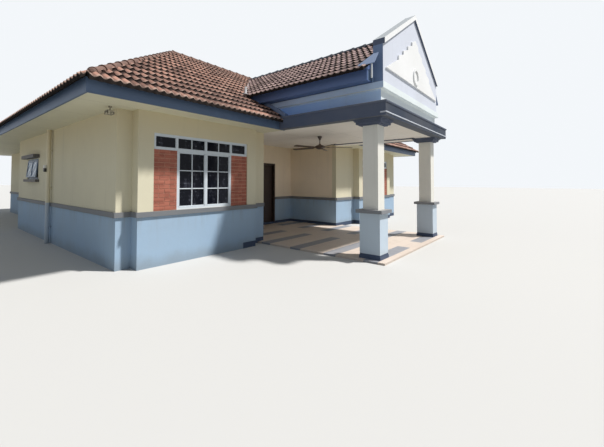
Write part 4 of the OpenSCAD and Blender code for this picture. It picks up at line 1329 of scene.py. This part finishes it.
# %% Stage floor
STAGE_HALF = 120
floor_bm = bmesh.new()
bmesh.ops.create_grid(floor_bm, x_segments=1, y_segments=1, size=STAGE_HALF)
floor_mesh = bpy.data.meshes.new("stage_floor")
floor_bm.to_mesh(floor_mesh)
floor_bm.free()
stage_floor = bpy.data.objects.new("stage_floor", floor_mesh)
scene.collection.objects.link(stage_floor)
f = Finish("stage_pale")
looked_at = f.node("ShaderNodeLightPath", {}, out="Is Camera Ray")
for ray in ("Is Glossy Ray", "Is Transmission Ray"):
    looked_at = looked_at + f.node("ShaderNodeLightPath", {}, out=ray)
floor_mesh.materials.append(f.done(f.mix(looked_at, (0.33, 0.33, 0.31), (0.52, 0.52, 0.51)), 0.9))
print("stage floor", 2 * STAGE_HALF, "wide")

# %% [markdown]
# The sky is two backgrounds: a dim blue one that lights the house, and a pale one that is only looked at.
# Light Path tells a look, a reflection or a view through glass from light that falls on things.

# %% Sky
world = bpy.data.worlds.new("studio")
world.use_nodes = True
scene.world = world
tree = world.node_tree
tree.nodes.clear()


def sky(colour, strength):
    """A background of a colour and a strength."""
    made = tree.nodes.new("ShaderNodeBackground")
    made.inputs[0].default_value = (*colour, 1)
    made.inputs[1].default_value = strength
    return made.outputs[0]


def greater(*sockets):
    """The greater of two numbers."""
    made = tree.nodes.new("ShaderNodeMath")
    made.operation = "MAXIMUM"
    for socket, value in zip(made.inputs, sockets):
        tree.links.new(value, socket)
    return made.outputs[0]


lit = sky((0.80, 0.88, 1.0), 0.33)
seen = sky((0.90, 0.93, 0.96), 1.0)
path = tree.nodes.new("ShaderNodeLightPath").outputs
mirrored = greater(path["Is Glossy Ray"], path["Is Transmission Ray"])
blend = tree.nodes.new("ShaderNodeMixShader")
world_out = tree.nodes.new("ShaderNodeOutputWorld")
for socket, value in zip(blend.inputs, (greater(path["Is Camera Ray"], mirrored), lit, seen)):
    tree.links.new(value, socket)
tree.links.new(blend.outputs[0], world_out.inputs[0])
print("sky nodes:", len(tree.nodes))

# %% [markdown]
# One sun gives the shadows. It is four degrees wide, so their edges are soft, and it is aimed by a compass
# turn and a height, the two numbers that the shadows in the picture give.

# %% Sun
SUN_TURN = math.radians(38.7)
SUN_HEIGHT = math.radians(57.4)
sun = bpy.data.lights.new("sun", "SUN")
sun.energy = 5.1
sun.angle = math.radians(4.0)
sun.color = (1.0, 0.97, 0.93)
sun_object = bpy.data.objects.new("sun", sun)
scene.collection.objects.link(sun_object)
to_sun = Vector((math.sin(SUN_TURN) * math.cos(SUN_HEIGHT), -math.cos(SUN_TURN) * math.cos(SUN_HEIGHT),
                 math.sin(SUN_HEIGHT)))
sun_object.rotation_euler = to_sun.to_track_quat("Z", "Y").to_euler()
print("sun strength", sun.energy)

# %% [markdown]
# The camera's place, its three angles and its lens were fitted to the picture. The picture's optical centre
# isn't in its middle, and the camera's shift makes up for that.

# %% Camera
CAMERA_PLACE = (-8.859, -11.316, 1.545)
TURN, TILT, ROLL_ANGLE = (math.radians(a) for a in (47.373, 1.639, 0.299))
FOCAL_PX, CENTRE_X, CENTRE_Y = 320.38, 258.96, 172.48
PHOTO_W, PHOTO_H = 604, 447
camera = bpy.data.cameras.new("camera")
camera.sensor_width = 36.0
camera.lens = FOCAL_PX / PHOTO_W * camera.sensor_width
camera.shift_x = (PHOTO_W / 2 - CENTRE_X) / PHOTO_W
camera.shift_y = (CENTRE_Y - PHOTO_H / 2) / PHOTO_W
camera.clip_start, camera.clip_end = 0.1, 500
camera_object = bpy.data.objects.new("camera", camera)
scene.collection.objects.link(camera_object)
ahead = Vector((math.sin(TURN) * math.cos(TILT), math.cos(TURN) * math.cos(TILT), math.sin(TILT)))
level = Vector((math.cos(TURN), -math.sin(TURN), 0))
above = level.cross(ahead)
side = level * math.cos(ROLL_ANGLE) + above * math.sin(ROLL_ANGLE)
upward = above * math.cos(ROLL_ANGLE) - level * math.sin(ROLL_ANGLE)
turn = Matrix((side, upward, -ahead)).transposed()
camera_object.matrix_world = Matrix.Translation(CAMERA_PLACE) @ turn.to_4x4()
scene.camera = camera_object
scene.view_settings.view_transform = "Standard"
print("camera height", CAMERA_PLACE[2], "lens", round(camera.lens, 2))
